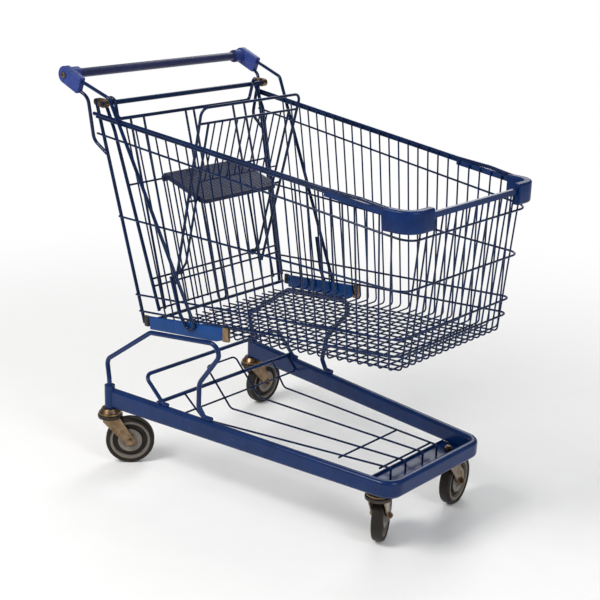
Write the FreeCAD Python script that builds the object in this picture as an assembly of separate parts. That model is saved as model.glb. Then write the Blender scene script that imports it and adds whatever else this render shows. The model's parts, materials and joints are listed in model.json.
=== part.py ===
import FreeCAD, Part
import math
import os
from FreeCAD import Vector

# A wire shopping trolley: a flat-oval chassis on four swivel casters, a lower rack, a welded wire
# basket, a hinged rear gate and a folding child seat. All sizes are in millimetres.
# While the trolley is being built, x runs forward from the rear ends of the chassis rails, y to the
# trolley's left and z up from the floor. The last step moves all of it, so that the origin is on the
# floor under the middle of its bounding box.

# ---- casters ----
WHEEL_D = 125.0
WHEEL_W = 28.0
TRAIL = 50.0            # from the swivel axis back to the axle
TYRE_DEPTH = 10.5
RIM_LIP = 7.0           # radial width of the rim ring inside the tyre
HUB_D = 60.0
HUB_W = 24.0
WEB_T = 8.0
AXLE_D = 8.0
BOLT_HEAD_D = 14.0
BOLT_HEAD_T = 5.0
FORK_SHEET = 3.0
FORK_GAP = 3.0          # between the tyre and each fork leg
FORK_RING_D = 64.0
FORK_RING_H = 16.0
FORK_TIP_R = 12.0
FORK_TOP_REAR = 18.0    # the leg's top edge, behind and ahead of the swivel axis
FORK_TOP_FRONT = 24.0
RACE_D = 54.0
RACE_H = 9.5
RACE_GAP = 0.5          # between the fixed race and the turning ring
KING_PIN_D = 12.0
PIN_CLEARANCE = 0.05    # radial, of each turning fit
NUT_H = 8.0
NUT_D = 21.0
# name: (which rail end, side, yaw from the swivel axis to the wheel)
CASTERS = {
    "front_left": ("front", 1, 100.0),
    "front_right": ("front", -1, 117.0),
    "rear_left": ("rear", 1, 92.0),
    "rear_right": ("rear", -1, 47.0),
}

# ---- chassis ----
CHASSIS_L = 863.0
REAR_HALF = 271.5       # outer face of a rail at its rear end
FRONT_HALF = 178.0      # outer face of a rail at the front end
RAIL_W = 20.0
CORNER_R = 45.0
RAIL_REAR_H = 53.0
RAIL_FRONT_H = 41.0
WHEEL_CLEARANCE = 1.0   # between the tyre and the turning ring
RAIL_RISE = 6.0         # of the underside, from the rear to the front
RAIL_EDGE_R = 8.5
RAIL_WALL = 2.0
SOCKET_D = 27.0
SOCKET_X = 13.0
SOCKET_Y = 264.0
SOCKET_UP = 9.0         # stands above the rail
PLATE_T = 4.0
PLATE_L = 90.0
FRONT_STEM_BACK = 70.0  # behind the chassis's front
FRONT_STEM_Y = 134.0

# ---- basket ----
SIDE_HALF = 240.1       # half width where a side plane would meet x = 0, z = 0
SIDE_TAPER = 0.0600
SIDE_FLARE = 0.0460
POST_LEAN = 0.239       # along x for each unit down
POST_X = 5.5            # a post's centre line at POST_Z
POST_Z = 926.0
POST_TOP = 946.0
POST_FOOT = 407.0
FRONT_X = 906.4         # the front panel at FRONT_Z
FRONT_Z = 815.0
FRONT_LEAN = 0.0917
RIM_REAR_Z = 912.8      # at x = 0
RIM_SLOPE = 0.0999
RIM_CREST = 4.0         # the rim's upper wire clears the flat bar by rising this much above its line
RIM_CREST_BACK = 120.4  # behind the front panel, where it starts to bend down into the bumper
FLOOR_Z = 411.0         # at FLOOR_REAR_X
FLOOR_REAR_X = 165.0
FLOOR_SLOPE = 0.0932
WIRE_D = 4.0
HOOP_D = 5.0
HEAVY_D = 8.5           # rim, posts, handle wires, gate frame
RIM_LOWER_D = 5.5
WELD = 0.3              # how far one welded wire sinks into the next
SIDE_COUNT = 25
SIDE_TOP_X = 100.0
SIDE_TOP_MARGIN = 50.4  # from the last wire to the front panel, at the rim
SIDE_FOOT_X = 211.0
SIDE_FOOT_MARGIN = 12.5  # and at the floor
FRONT_COUNT = 16
FRONT_PITCH = 24.3
WIRE_BEND = 10.0
BEND_RUN = 14.0
# each hoop: (rear end x, z there, z at the front, corner radius)
HOOPS = ((6.0, 865.4, 768.0, 35.0), (66.0, 670.0, 658.0, 30.0),
         (111.0, 479.3, 551.0, 26.0), (121.0, 438.5, 512.0, 25.0))
BAR_H = 13.0            # the flat bar inside the bumpers
BAR_T = 6.0
BAR_LEG = 216.0         # from its rear ends to the front panel
BAR_REAR_Z = 835.0
BAR_CORNER_R = 36.0
BUMPER_H = 49.0
BUMPER_UP = 17.5        # its top edge above the flat bar's centre line
BUMPER_T = 20.0
BUMPER_LEG = 63.0       # from its rear end to the front panel
BUMPER_END_Y = 160.0
BUMPER_EDGE_R = 5.0

# ---- side brackets, arches and rack ----
BRACKET_X = (155.0, 397.0)
BRACKET_FOOT_X = (159.0, 375.0)
BRACKET_TOP_Z = (432.0, 461.0)
BRACKET_FOOT_Z = (400.0, 422.0)
BRACKET_T = 6.4
BRACKET_SHEET = 2.5
CLIP_L = 17.0
BUFFER_L = 12.0
ARCH_D = 12.0
ARCH_REAR = (0.0, 279.0)
ARCH_TOP_REAR = (157.0, 390.0)
ARCH_TOP_FRONT = (411.0, 419.5)
ARCH_KNEE = (313.0, 297.0)
ARCH_ANKLE_X = 305.0
ARCH_ANKLE_UP = 30.0    # above the rail
ARCH_TOE_X = 345.0
RACK_BAR_D = 10.0
RACK_TOP_X = 126.0
RACK_TOP_UP = 63.0      # above the rail's top
RACK_FOOT_X = 190.0
RACK_TOE_X = 206.0
RACK_WIRE_D = 5.0
RACK_LOW_BAR_X = 176.0
RACK_BOTTOM_X = 241.0
RACK_BOTTOM_UP = 3.0    # above the rails' underside, at the rear and at the front
RACK_FRONT_UP = 28.0
RACK_FRONT_BACK = 73.0  # behind the chassis's front
RACK_LOOP_X = 150.0
RACK_LOOP_UP = 93.0
RACK_STOP = 0.74        # how far down the slope the stop wire lies
RACK_INNER_Y = (53.0, 33.0)     # at the rear and at the front
RACK_OUTER_Y = (151.0, 89.0)
RACK_CROSS_BACK = (210.0, 99.0)

# ---- handle ----
HANDLE_X = -79.0
HANDLE_Z = 997.0
HANDLE_D = 22.0
HANDLE_BARE = 264.0     # half the length between the collars
COLLAR_D = 30.0
CAP_IN = 292.0
CAP_OUT = 310.0
CAP_R = 20.5
CAP_REACH = 58.0        # from the tube's axis to the cap's square front end
CAP_DROP = 21.5         # degrees below the horizontal
CAP_EDGE_R = 4.0
SCREW_D = 14.0
SCREW_H = 3.5

# ---- gate and child seat ----
HINGE_X = 27.0
HINGE_Z = 938.0
HINGE_D = 12.0
GATE_LEAN = 0.264
GATE_X = 29.0           # the gate's plane at POST_Z
GATE_TOP = 899.5
GATE_FOOT = 440.0
# where the top run turns up and where it turns over the hinge bar, on the left and on the right
GATE_TOP_ENDS = ((207.0, 222.0), (243.0, 252.0))
GATE_HIGH_HALF = 257.0
GATE_LOW_HALF = 222.0
GATE_BAR_D = 6.0
GATE_BARS = (14.0, 154.0, 196.0)
GATE_LOWER = (49.0, 84.0, 118.0)
GATE_CROSS = (745.0, 518.0, 500.0, 445.0)
SEAT_LEVEL = 745.0
BACK_TOP = 946.0
BACK_TOP_HALF = 171.0
BACK_LEAN = 0.2365
BACK_SECOND = 907.0
BACK_GRID_FOOT = 760.0
BACK_D = 7.0
BACK_TAIL = 492.0
BACK_SPREAD = 15.0      # how much the outer legs close in from the top to the pivot
BACK_INNER = (140.0, 131.0)
BACK_COUNT = 10
SEAT_HINGE_Z = 712.0
SEAT_REAR_HALF = 130.0
SEAT_FRONT_HALF = 130.5
SEAT_T = 10.0
SEAT_FRONT_X = 217.0
SEAT_GAP = 2.0          # between the seat's rear edge and the gate's bars
EYE_R = 8.0
EYE_W = 7.0


# ---- sizes that follow ----
RAIL_REAR_Z = WHEEL_D + WHEEL_CLEARANCE + FORK_RING_H + RACE_GAP + RACE_H      # underside
RAIL_FRONT_Z = RAIL_REAR_Z + RAIL_RISE
FRONT_STEM_X = CHASSIS_L - FRONT_STEM_BACK
RACK_FRONT_X = CHASSIS_L - RACK_FRONT_BACK
BAR_REAR_X = FRONT_X - BAR_LEG
BUMPER_SIDE_X = FRONT_X - BUMPER_LEG
RIM_END = BUMPER_SIDE_X + 6.0
RIM_CREST_X = FRONT_X - RIM_CREST_BACK
SIDE_TOP_PITCH = (FRONT_X - SIDE_TOP_MARGIN - SIDE_TOP_X) / (SIDE_COUNT - 1)
GATE_TILT = math.atan(GATE_LEAN)
# how far the centre of each kind of wire lies outside the basket's side plane
OUT_HOOP = 0.5
OUT_WIRE = OUT_HOOP - (HOOP_D + WIRE_D) / 2 + WELD
OUT_RIM = OUT_WIRE + (WIRE_D + HEAVY_D) / 2 - WELD
OUT_POST = OUT_HOOP - (HOOP_D + HEAVY_D) / 2 + WELD
OUT_HANDLE = OUT_RIM + HEAVY_D - WELD
# how far the gate's wires lie ahead of the plane of its outer wire
BARS_AHEAD = -(HEAVY_D + GATE_BAR_D) / 2 + WELD
CROSS_AHEAD = BARS_AHEAD + (GATE_BAR_D + HOOP_D) / 2 - WELD


# ---- small helpers ----
def bend_edges(points, radii):
    """Straight runs through the points, joined by tangent arcs."""
    pts = [Vector(*p) for p in points]
    if not isinstance(radii, (list, tuple)):
        radii = [radii] * (len(pts) - 2)
    edges = []
    start = pts[0]
    for i in range(1, len(pts) - 1):
        before = (pts[i] - pts[i - 1]).normalize()
        after = (pts[i + 1] - pts[i]).normalize()
        turn = before.getAngle(after)
        cut = radii[i - 1] * math.tan(turn / 2)
        first = pts[i] - before * cut
        last = pts[i] + after * cut
        inward = (after - before).normalize()
        middle = pts[i] + inward * (radii[i - 1] / math.cos(turn / 2) - radii[i - 1])
        edges.append(Part.LineSegment(start, first).toShape())
        edges.append(Part.Arc(first, middle, last).toShape())
        start = last
    edges.append(Part.LineSegment(start, pts[-1]).toShape())
    return edges


def wire_piece(points, diameter, radii=10.0):
    """A round wire along straight runs and bends."""
    if len(points) == 2:
        a, b = Vector(*points[0]), Vector(*points[1])
        return Part.makeCylinder(diameter / 2, a.distanceToPoint(b), a, b - a)
    path = Part.Wire(bend_edges(points, radii))
    start = Vector(*points[0])
    ring = Part.Wire(Part.makeCircle(diameter / 2, start, Vector(*points[1]) - start))
    return path.makePipeShell([ring], True, False)


def mirror(points):
    """The same points on the other side of the trolley."""
    return [(x, -y, z) for x, y, z in points]


def both_sides(points, diameter, radii=10.0):
    return [wire_piece(points, diameter, radii), wire_piece(mirror(points), diameter, radii)]


def across(points):
    """A path that goes on to its own mirror image on the other side."""
    return points + mirror(points)[::-1]


def along(x, a, b, va, vb):
    """The straight line through (a, va) and (b, vb), at x."""
    return va + (vb - va) * (x - a) / (b - a)


def cylinder(radius, x, y, z, dx, dy, dz):
    """A cylinder from a point along a vector."""
    run = Vector(dx, dy, dz)
    return Part.makeCylinder(radius, run.Length, Vector(x, y, z), run)


def offset_line(points, side, width):
    """The points of an open flat line, moved sideways by width, mitred at its corners."""
    moved = []
    for i, (x, y) in enumerate(points):
        normals = []
        for a, b in ((i - 1, i), (i, i + 1)):
            if a < 0 or b >= len(points):
                continue
            dx, dy = points[b][0] - points[a][0], points[b][1] - points[a][1]
            run = math.hypot(dx, dy)
            normals.append((-dy / run * side, dx / run * side))
        nx = sum(n[0] for n in normals)
        ny = sum(n[1] for n in normals)
        scale = width * 2 / (nx * nx + ny * ny) if len(normals) == 2 else width
        moved.append((x + nx * scale, y + ny * scale))
    return moved


def band(points, radii, width, z_low, z_high, turn):
    """An upright band of one width along a flat line; turn is 1 when the line bends left."""
    outlines = []
    for side in (1, -1):
        line = offset_line(points, side, width / 2)
        sized = [r - side * turn * width / 2 for r in radii]
        outlines.append(bend_edges([(x, y, z_low) for x, y in line], sized))
    left, right = outlines
    ends = [Part.LineSegment(left[0].Vertexes[0].Point, right[0].Vertexes[0].Point).toShape(),
            Part.LineSegment(left[-1].Vertexes[-1].Point, right[-1].Vertexes[-1].Point).toShape()]
    outline = Part.Wire(Part.__sortEdges__(left + right + ends))
    return Part.Face(outline).extrude(Vector(0, 0, z_high - z_low))


def side_profile(points, half):
    """A prism across the trolley from an outline of (x, z) points."""
    corners = [Vector(x, -half, z) for x, z in points]
    outline = Part.makePolygon(corners + corners[:1])
    return Part.Face(outline).extrude(Vector(0, 2 * half, 0))


def level_edges(shape, low, high):
    """The edges that lie near a sloping top or underside, away from the open ends."""
    kept = []
    for edge in shape.Edges:
        box = edge.BoundBox
        if box.ZLength > 15.0 or box.XLength + box.YLength < 1.0:
            continue
        if all(low(v.Point) or high(v.Point) for v in edge.Vertexes):
            kept.append(edge)
    return kept


# ---- where things are ----
def side_y(x, z, out=0.0):
    """Half width of the basket's side plane."""
    return SIDE_HALF - SIDE_TAPER * x + SIDE_FLARE * z + out


def post_x(z):
    return POST_X + POST_LEAN * (POST_Z - z)


def front_x(z):
    return FRONT_X - FRONT_LEAN * (FRONT_Z - z)


def rim_z(x):
    return RIM_REAR_Z - RIM_SLOPE * x


def floor_z(x):
    return FLOOR_Z + FLOOR_SLOPE * (x - FLOOR_REAR_X)


def rail_low(x):
    return along(x, 0, CHASSIS_L, RAIL_REAR_Z, RAIL_FRONT_Z)


def rail_top(x):
    return along(x, 0, CHASSIS_L, RAIL_REAR_Z + RAIL_REAR_H, RAIL_FRONT_Z + RAIL_FRONT_H)


def rail_mid(x):
    return along(x, 0, CHASSIS_L, REAR_HALF, FRONT_HALF) - RAIL_W / 2


def foot_x(i):
    """Where side wire i and its floor wire turn in under the basket."""
    last = front_x(FLOOR_Z) - SIDE_FOOT_MARGIN
    return SIDE_FOOT_X + (last - SIDE_FOOT_X) * i / (SIDE_COUNT - 1)


# ---- chassis ----
def chassis():
    front = CHASSIS_L - RAIL_W / 2
    plan = [(SOCKET_X, rail_mid(SOCKET_X)), (front, rail_mid(front)),
            (front, -rail_mid(front)), (SOCKET_X, -rail_mid(SOCKET_X))]
    radius = CORNER_R - RAIL_W / 2
    low, high = RAIL_REAR_Z - 10, RAIL_REAR_Z + RAIL_REAR_H + 10
    tube = band(plan, [radius, radius], RAIL_W, low, high, -1).common(rail_slab(0.0))
    edges = level_edges(tube, lambda p: abs(p.z - rail_low(p.x)) < 0.01,
                        lambda p: abs(p.z - rail_top(p.x)) < 0.01)
    edges = [e for e in edges if e.BoundBox.XMax > SOCKET_X + 5.0]
    tube = tube.makeFillet(RAIL_EDGE_R, edges)
    hollow = band(plan, [radius, radius], RAIL_W - 2 * RAIL_WALL, low, high, -1)
    tube = tube.cut(hollow.common(rail_slab(RAIL_WALL + 2.0)))
    sockets = []
    for side in (1, -1):
        y = side * SOCKET_Y
        sockets.append(cylinder(SOCKET_D / 2, SOCKET_X, y, RAIL_REAR_Z, 0, 0, RAIL_REAR_H + SOCKET_UP))
    for socket in sockets:
        tube = tube.cut(socket)
    rear = CHASSIS_L - RAIL_W - PLATE_L
    outline = [(rear, rail_mid(rear) - RAIL_W / 4), (front, rail_mid(front) - RAIL_W / 4)]
    outline += [(x, -y) for x, y in outline[::-1]]
    base = rail_low(rear) - PLATE_T + WELD
    path = [(x, y, base) for x, y in [outline[0], (front, rail_mid(front)), (front, -rail_mid(front)), outline[3]]]
    edges = bend_edges(path, [radius, radius])
    edges.append(Part.LineSegment(Vector(*path[-1]), Vector(*path[0])).toShape())
    plate = Part.Face(Part.Wire(edges)).extrude(Vector(0, 0, PLATE_T))
    plate = plate.fuse(plate_riser(rear)).removeSplitter()
    return tube.Solids, sockets, plate.Solids


def rail_slab(wall):
    """The space between the rails' sloping undersides and tops, less a wall at each."""
    x0, x1 = -20.0, CHASSIS_L + 20
    outline = [(x0, rail_low(x0) + wall), (x1, rail_low(x1) + wall),
               (x1, rail_top(x1) - wall), (x0, rail_top(x0) - wall)]
    return side_profile(outline, REAR_HALF + 20)


def plate_riser(rear):
    """The folded stiffening lip along the plate's rear edge."""
    half = rail_mid(rear) - RAIL_W / 2 - 2
    low = rail_low(rear) - PLATE_T + WELD
    return Part.makeBox(2.5, 2 * half, PLATE_T + 6, Vector(rear, -half, low))


def arches():
    rods = []
    toe = rail_top(ARCH_TOE_X) + ARCH_D / 2 - WELD
    points = [(SOCKET_X, SOCKET_Y, RAIL_REAR_Z + RAIL_REAR_H + SOCKET_UP - WELD),
              (SOCKET_X + 0.1 * (ARCH_REAR[0] - SOCKET_X), SOCKET_Y, RAIL_REAR_Z + RAIL_REAR_H + 27.0),
              (ARCH_REAR[0], SOCKET_Y - 4, ARCH_REAR[1])]
    top_y = [side_y(x, z, 3.0) for x, z in (ARCH_TOP_REAR, ARCH_TOP_FRONT)]
    points += [(ARCH_TOP_REAR[0], top_y[0], ARCH_TOP_REAR[1]),
               (ARCH_TOP_FRONT[0], top_y[1], ARCH_TOP_FRONT[1]),
               (ARCH_KNEE[0], rail_mid(ARCH_KNEE[0]) + 8, ARCH_KNEE[1]),
               (ARCH_ANKLE_X, rail_mid(ARCH_ANKLE_X) + 1, rail_top(ARCH_ANKLE_X) + ARCH_ANKLE_UP),
               (ARCH_ANKLE_X + 16, rail_mid(ARCH_ANKLE_X + 16), toe),
               (ARCH_TOE_X, rail_mid(ARCH_TOE_X), toe)]
    for path in (points, mirror(points)):
        rods.append(wire_piece(path, ARCH_D, [60, 20, 25, 24, 40, 9, 9]))
    return rods


# ---- rack ----
def rack_low_bar_z():
    return rail_top(RACK_LOW_BAR_X) + RACK_BAR_D / 2 - WELD


def rack():
    foot_z = rail_top(RACK_FOOT_X) + RACK_BAR_D / 2 - WELD
    toe_z = rail_top(RACK_TOE_X) + RACK_BAR_D / 2 - WELD
    y = rail_mid(RACK_FOOT_X)
    half = [(RACK_TOE_X, rail_mid(RACK_TOE_X), toe_z), (RACK_FOOT_X, y, foot_z),
            (RACK_TOP_X, y + 3.0, rail_top(RACK_TOP_X) + RACK_TOP_UP)]
    upper = wire_piece(across(half), RACK_BAR_D, [9, 20, 20, 9])
    low_z = rack_low_bar_z()
    low_y = rail_mid(RACK_LOW_BAR_X) + 4.0
    lower = wire_piece([(RACK_LOW_BAR_X, -low_y, low_z), (RACK_LOW_BAR_X, low_y, low_z)], RACK_BAR_D)
    plate_top = rail_low(CHASSIS_L - RAIL_W - PLATE_L) + WELD
    ends = [RACK_FRONT_X, RAIL_FRONT_Z + RACK_FRONT_UP]
    bottom_x, bottom_z = RACK_BOTTOM_X, RAIL_REAR_Z + RACK_BOTTOM_UP
    loop_z = RAIL_REAR_Z + RACK_LOOP_UP
    inner = [(ends[0], RACK_INNER_Y[1], plate_top - WELD), (ends[0], RACK_INNER_Y[1], ends[1]),
             (bottom_x, RACK_INNER_Y[0], bottom_z), (RACK_LOOP_X, RACK_INNER_Y[0], loop_z)]
    wires = [wire_piece(across(inner), RACK_WIRE_D, [6, 20, 12, 12, 20, 6])]
    # the outer wires end on the lower bar, on the line that the inner ones rise along
    rise = (loop_z - bottom_z) / (bottom_x - RACK_LOOP_X)
    top_x = RACK_LOW_BAR_X + 5.0
    outer = [(ends[0], RACK_OUTER_Y[1], plate_top - WELD), (ends[0], RACK_OUTER_Y[1], ends[1]),
             (bottom_x, RACK_OUTER_Y[0], bottom_z),
             (top_x, RACK_OUTER_Y[0] + 12.0, bottom_z + rise * (bottom_x - top_x))]
    wires += both_sides(outer, RACK_WIRE_D, [6, 20])
    drop = RACK_WIRE_D - WELD
    for back in RACK_CROSS_BACK:
        x = CHASSIS_L - back
        reach = along(x, bottom_x, ends[0], RACK_OUTER_Y[0], RACK_OUTER_Y[1]) + 6.0
        z = along(x, bottom_x, ends[0], bottom_z, ends[1]) - drop
        wires.append(wire_piece([(x, -reach, z), (x, reach, z)], RACK_WIRE_D))
    # the stop wire lies under the slopes, and its ends are welded inside the rails
    stop_x = RACK_LOOP_X + RACK_STOP * (bottom_x - RACK_LOOP_X)
    stop_z = loop_z - RACK_STOP * (loop_z - bottom_z)
    slope = math.atan(rise)
    under_x, under_z = stop_x - drop * math.sin(slope), stop_z - drop * math.cos(slope)
    rear_y = rail_mid(under_x) - RAIL_W / 2 - RACK_WIRE_D / 2 + WELD
    rear = [(top_x - drop * math.sin(slope), rear_y + 3, rack_low_bar_z() - 1.0), (under_x, rear_y, under_z)]
    wires.append(wire_piece(across(rear), RACK_WIRE_D, [10, 10]))
    return [upper, lower], wires


# ---- basket ----
def posts():
    points = [(post_x(POST_FOOT), side_y(post_x(POST_FOOT), POST_FOOT, OUT_POST), POST_FOOT),
              (post_x(POST_TOP), side_y(post_x(POST_TOP), POST_TOP, OUT_POST), POST_TOP)]
    return both_sides(points, HEAVY_D)


def rim():
    thick = [(0.0, side_y(0, rim_z(0), OUT_RIM), rim_z(0)),
             (BAR_REAR_X, side_y(BAR_REAR_X, rim_z(BAR_REAR_X), OUT_RIM), rim_z(BAR_REAR_X)),
             (RIM_CREST_X, side_y(RIM_CREST_X, rim_z(RIM_CREST_X) + RIM_CREST, OUT_RIM),
              rim_z(RIM_CREST_X) + RIM_CREST),
             (RIM_END, side_y(RIM_END, rim_z(RIM_END) + 1.5, OUT_RIM), rim_z(RIM_END) + 1.5)]
    drop = (HEAVY_D + RIM_LOWER_D) / 2 - WELD
    x0, x1 = 8.0, BAR_REAR_X + 4.0
    low = [(x, side_y(x, rim_z(x) - drop, OUT_RIM), rim_z(x) - drop) for x in (x0, x1)]
    return both_sides(thick, HEAVY_D, 120.0), both_sides(low, RIM_LOWER_D)


def bar_corner():
    """The sharp corner of the flat front bar: x, half width and z of its centre line."""
    x = front_x(FRONT_Z) + OUT_WIRE + (WIRE_D + BAR_T) / 2 - WELD
    return x, side_y(x, FRONT_Z, OUT_RIM), FRONT_Z


def front_bar():
    """A flat bar bent to a U on edge, from one rim wire round the front to the other."""
    x, y, z = bar_corner()
    rear_y = side_y(BAR_REAR_X, BAR_REAR_Z, OUT_RIM)
    path = [(BAR_REAR_X, rear_y), (x, y), (x, -y), (BAR_REAR_X, -rear_y)]
    low, high = z - BAR_H, BAR_REAR_Z + BAR_H
    bar = band(path, [BAR_CORNER_R, BAR_CORNER_R], BAR_T, low, high, -1)
    drop = (BAR_REAR_Z - z) / (x - BAR_REAR_X)
    ends = ((BAR_REAR_X - 5, BAR_REAR_Z + 5 * drop), (x + 5, z - 5 * drop))
    outline = [(ends[0][0], ends[0][1] - BAR_H / 2), (ends[1][0], ends[1][1] - BAR_H / 2),
               (ends[1][0], ends[1][1] + BAR_H / 2), (ends[0][0], ends[0][1] + BAR_H / 2)]
    return bar.common(side_profile(outline, y + 30)).Solids


def bumpers(bar):
    """Two plastic corner bumpers, pushed over the front bar."""
    x, y, z = bar_corner()
    side = side_y(BUMPER_SIDE_X, z, OUT_RIM)
    path = [(BUMPER_SIDE_X, side), (x, y), (x, BUMPER_END_Y)]
    pieces = []
    low = z + BUMPER_UP - BUMPER_H
    block = band(path, [BAR_CORNER_R], BUMPER_T, low, low + BUMPER_H, -1)
    edges = [e for e in block.Edges if e.BoundBox.ZLength < 0.01]
    block = block.makeFillet(BUMPER_EDGE_R, edges)
    for piece in (block, block.mirror(Vector(0, 0, 0), Vector(0, 1, 0))):
        for solid in bar:
            piece = piece.cut(solid)
        pieces += piece.Solids
    return pieces


def hoops():
    pieces = []
    for rear_x, rear_z, front_z, radius in HOOPS:
        x = front_x(front_z) + OUT_HOOP
        half = [(rear_x, side_y(rear_x, rear_z, OUT_HOOP), rear_z), (x, side_y(x, front_z, OUT_HOOP), front_z)]
        pieces.append(wire_piece(across(half), HOOP_D, [radius, radius]))
    return pieces


def side_wires(side):
    """The upright wires of one side, each bent in under the basket at its foot."""
    pieces = []
    for i in range(SIDE_COUNT):
        top_x = SIDE_TOP_X + SIDE_TOP_PITCH * i
        low_x = foot_x(i)
        beside_bar = along(top_x, BAR_REAR_X, FRONT_X, BAR_REAR_Z, FRONT_Z) + 4.0
        top_z = rim_z(top_x) if top_x < BAR_REAR_X else beside_bar
        foot_y = side_y(low_x, floor_z(low_x), OUT_WIRE)
        points = [(top_x, side * side_y(top_x, top_z, OUT_WIRE), top_z - 0.5),
                  (low_x, side * foot_y, floor_z(low_x)),
                  (low_x, side * (foot_y - BEND_RUN), floor_z(low_x))]
        pieces.append(wire_piece(points, WIRE_D, WIRE_BEND))
    return pieces


def floor_cross_wires():
    pieces = []
    for i in range(SIDE_COUNT):
        x = foot_x(i)
        half = side_y(x, floor_z(x), OUT_WIRE) - BEND_RUN
        pieces.append(wire_piece([(x, -half, floor_z(x)), (x, half, floor_z(x))], WIRE_D))
    return pieces


def front_wires():
    """The upright wires of the front panel and the floor wires that they turn into."""
    uprights, floors = [], []
    under = WIRE_D - WELD
    foot_z = floor_z(front_x(floor_z(FRONT_X))) - under
    base_x = front_x(foot_z) + OUT_WIRE
    turn_x = base_x - BEND_RUN
    top_z = FRONT_Z + BAR_H / 2 - 1.0
    for j in range(FRONT_COUNT):
        y = (j - (FRONT_COUNT - 1) / 2) * FRONT_PITCH
        points = [(front_x(top_z) + OUT_WIRE, y, top_z), (base_x, y, foot_z),
                  (turn_x, y, floor_z(turn_x) - under)]
        uprights.append(wire_piece(points, WIRE_D, WIRE_BEND))
        rear_x = FLOOR_REAR_X + HEAVY_D / 2 - WELD
        floors.append(wire_piece([(turn_x, y, floor_z(turn_x) - under),
                                  (rear_x, y, floor_z(rear_x) - under)], WIRE_D))
    return uprights, floors


def floor_rear_bar():
    x = post_x(FLOOR_Z) + HEAVY_D - WELD
    half = side_y(x, FLOOR_Z) - 1.0
    return [wire_piece([(x, -half, FLOOR_Z), (x, half, FLOOR_Z)], HEAVY_D)]


# ---- side brackets ----
def bracket_block(outline, depth, inset=0.0):
    """A plate on the outside of the basket's side wires, on the left."""
    base = OUT_WIRE + WIRE_D / 2 + WELD + inset
    z_mid = FLOOR_Z + 15
    near = [Vector(x, side_y(x, z_mid, base), z) for x, z in outline]
    face = Part.Face(Part.makePolygon(near + near[:1]))
    return face.extrude(Vector(0, depth, 0))


def brackets():
    channels, clips, buffers = [], [], []
    outline = [(BRACKET_X[0], BRACKET_TOP_Z[0]), (BRACKET_X[1], BRACKET_TOP_Z[1]),
               (BRACKET_X[1], BRACKET_FOOT_Z[1] + 8), (BRACKET_FOOT_X[1], BRACKET_FOOT_Z[1]),
               (BRACKET_FOOT_X[0], BRACKET_FOOT_Z[0])]
    channel = bracket_block(outline, BRACKET_T)
    s = BRACKET_SHEET
    pocket = [(BRACKET_X[0] + s, BRACKET_TOP_Z[0] - s), (BRACKET_X[1] - s, BRACKET_TOP_Z[1] - s),
              (BRACKET_X[1] - s, BRACKET_FOOT_Z[1] + 8 + s), (BRACKET_FOOT_X[1], BRACKET_FOOT_Z[1] + s),
              (BRACKET_FOOT_X[0] + s, BRACKET_FOOT_Z[0] + s)]
    channel = channel.cut(bracket_block(pocket, BRACKET_T, -s))
    x0, x1 = BRACKET_X[1] + 0.1, BRACKET_X[1] + CLIP_L
    low, high = BRACKET_FOOT_Z[1] + 6, BRACKET_TOP_Z[1] + 2
    clip = bracket_block([(x0, high), (x1, high + 1.5), (x1, low + 1.5), (x0, low)], BRACKET_T + 1.5)
    x0, x1 = BRACKET_X[0] - BUFFER_L, BRACKET_X[0] - 0.1
    low, high = BRACKET_FOOT_Z[0] + 6, BRACKET_TOP_Z[0] + 0.5
    block = bracket_block([(x0 - 3, high), (x1, high), (x1, low), (x0, low)], BRACKET_T + 2)
    for piece, group in ((channel, channels), (clip, clips), (block, buffers)):
        group += piece.Solids + piece.mirror(Vector(0, 0, 0), Vector(0, 1, 0)).Solids
    return channels, clips, buffers


# ---- handle ----
def handle_wires():
    """The upper wires run down the outside of the basket and turn up again over the brackets."""
    top = (68.0, 957.0)
    foot = (314.0, 447.0)
    turn = (291.0, 428.0)
    rise = (266.0, 470.0)
    end = (243.0, 556.0)
    flat = lambda p: (p[0], side_y(p[0], p[1], OUT_HANDLE), p[1])
    foot_y = side_y(foot[0], FLOOR_Z + 15, OUT_WIRE + WIRE_D / 2 + WELD + BRACKET_T + HEAVY_D / 2)
    hook = [(p[0], max(side_y(p[0], p[1], OUT_HANDLE), foot_y), p[1]) for p in (foot, turn, rise)]
    points = [(-60.0, 301.5, 998.5), (top[0], 293.0, top[1]), *hook, flat(end)]
    return both_sides(points, HEAVY_D, [16.0, 13.0, 13.0, 40.0])


def handle_braces():
    """The lower wires drop behind the rear posts and carry the rear ends of the rim."""
    end_z = 818.0
    end_x = post_x(end_z) - 3.0
    low_x, low_z = -12.0, 846.0
    points = [(-50.0, 302.0, 971.0), (-9.0, 294.0, 952.0),
              (low_x, side_y(low_x, low_z, OUT_POST + 2), low_z),
              (end_x, side_y(end_x, end_z, OUT_POST), end_z)]
    return both_sides(points, HEAVY_D, [25.0, 25.0])


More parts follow.
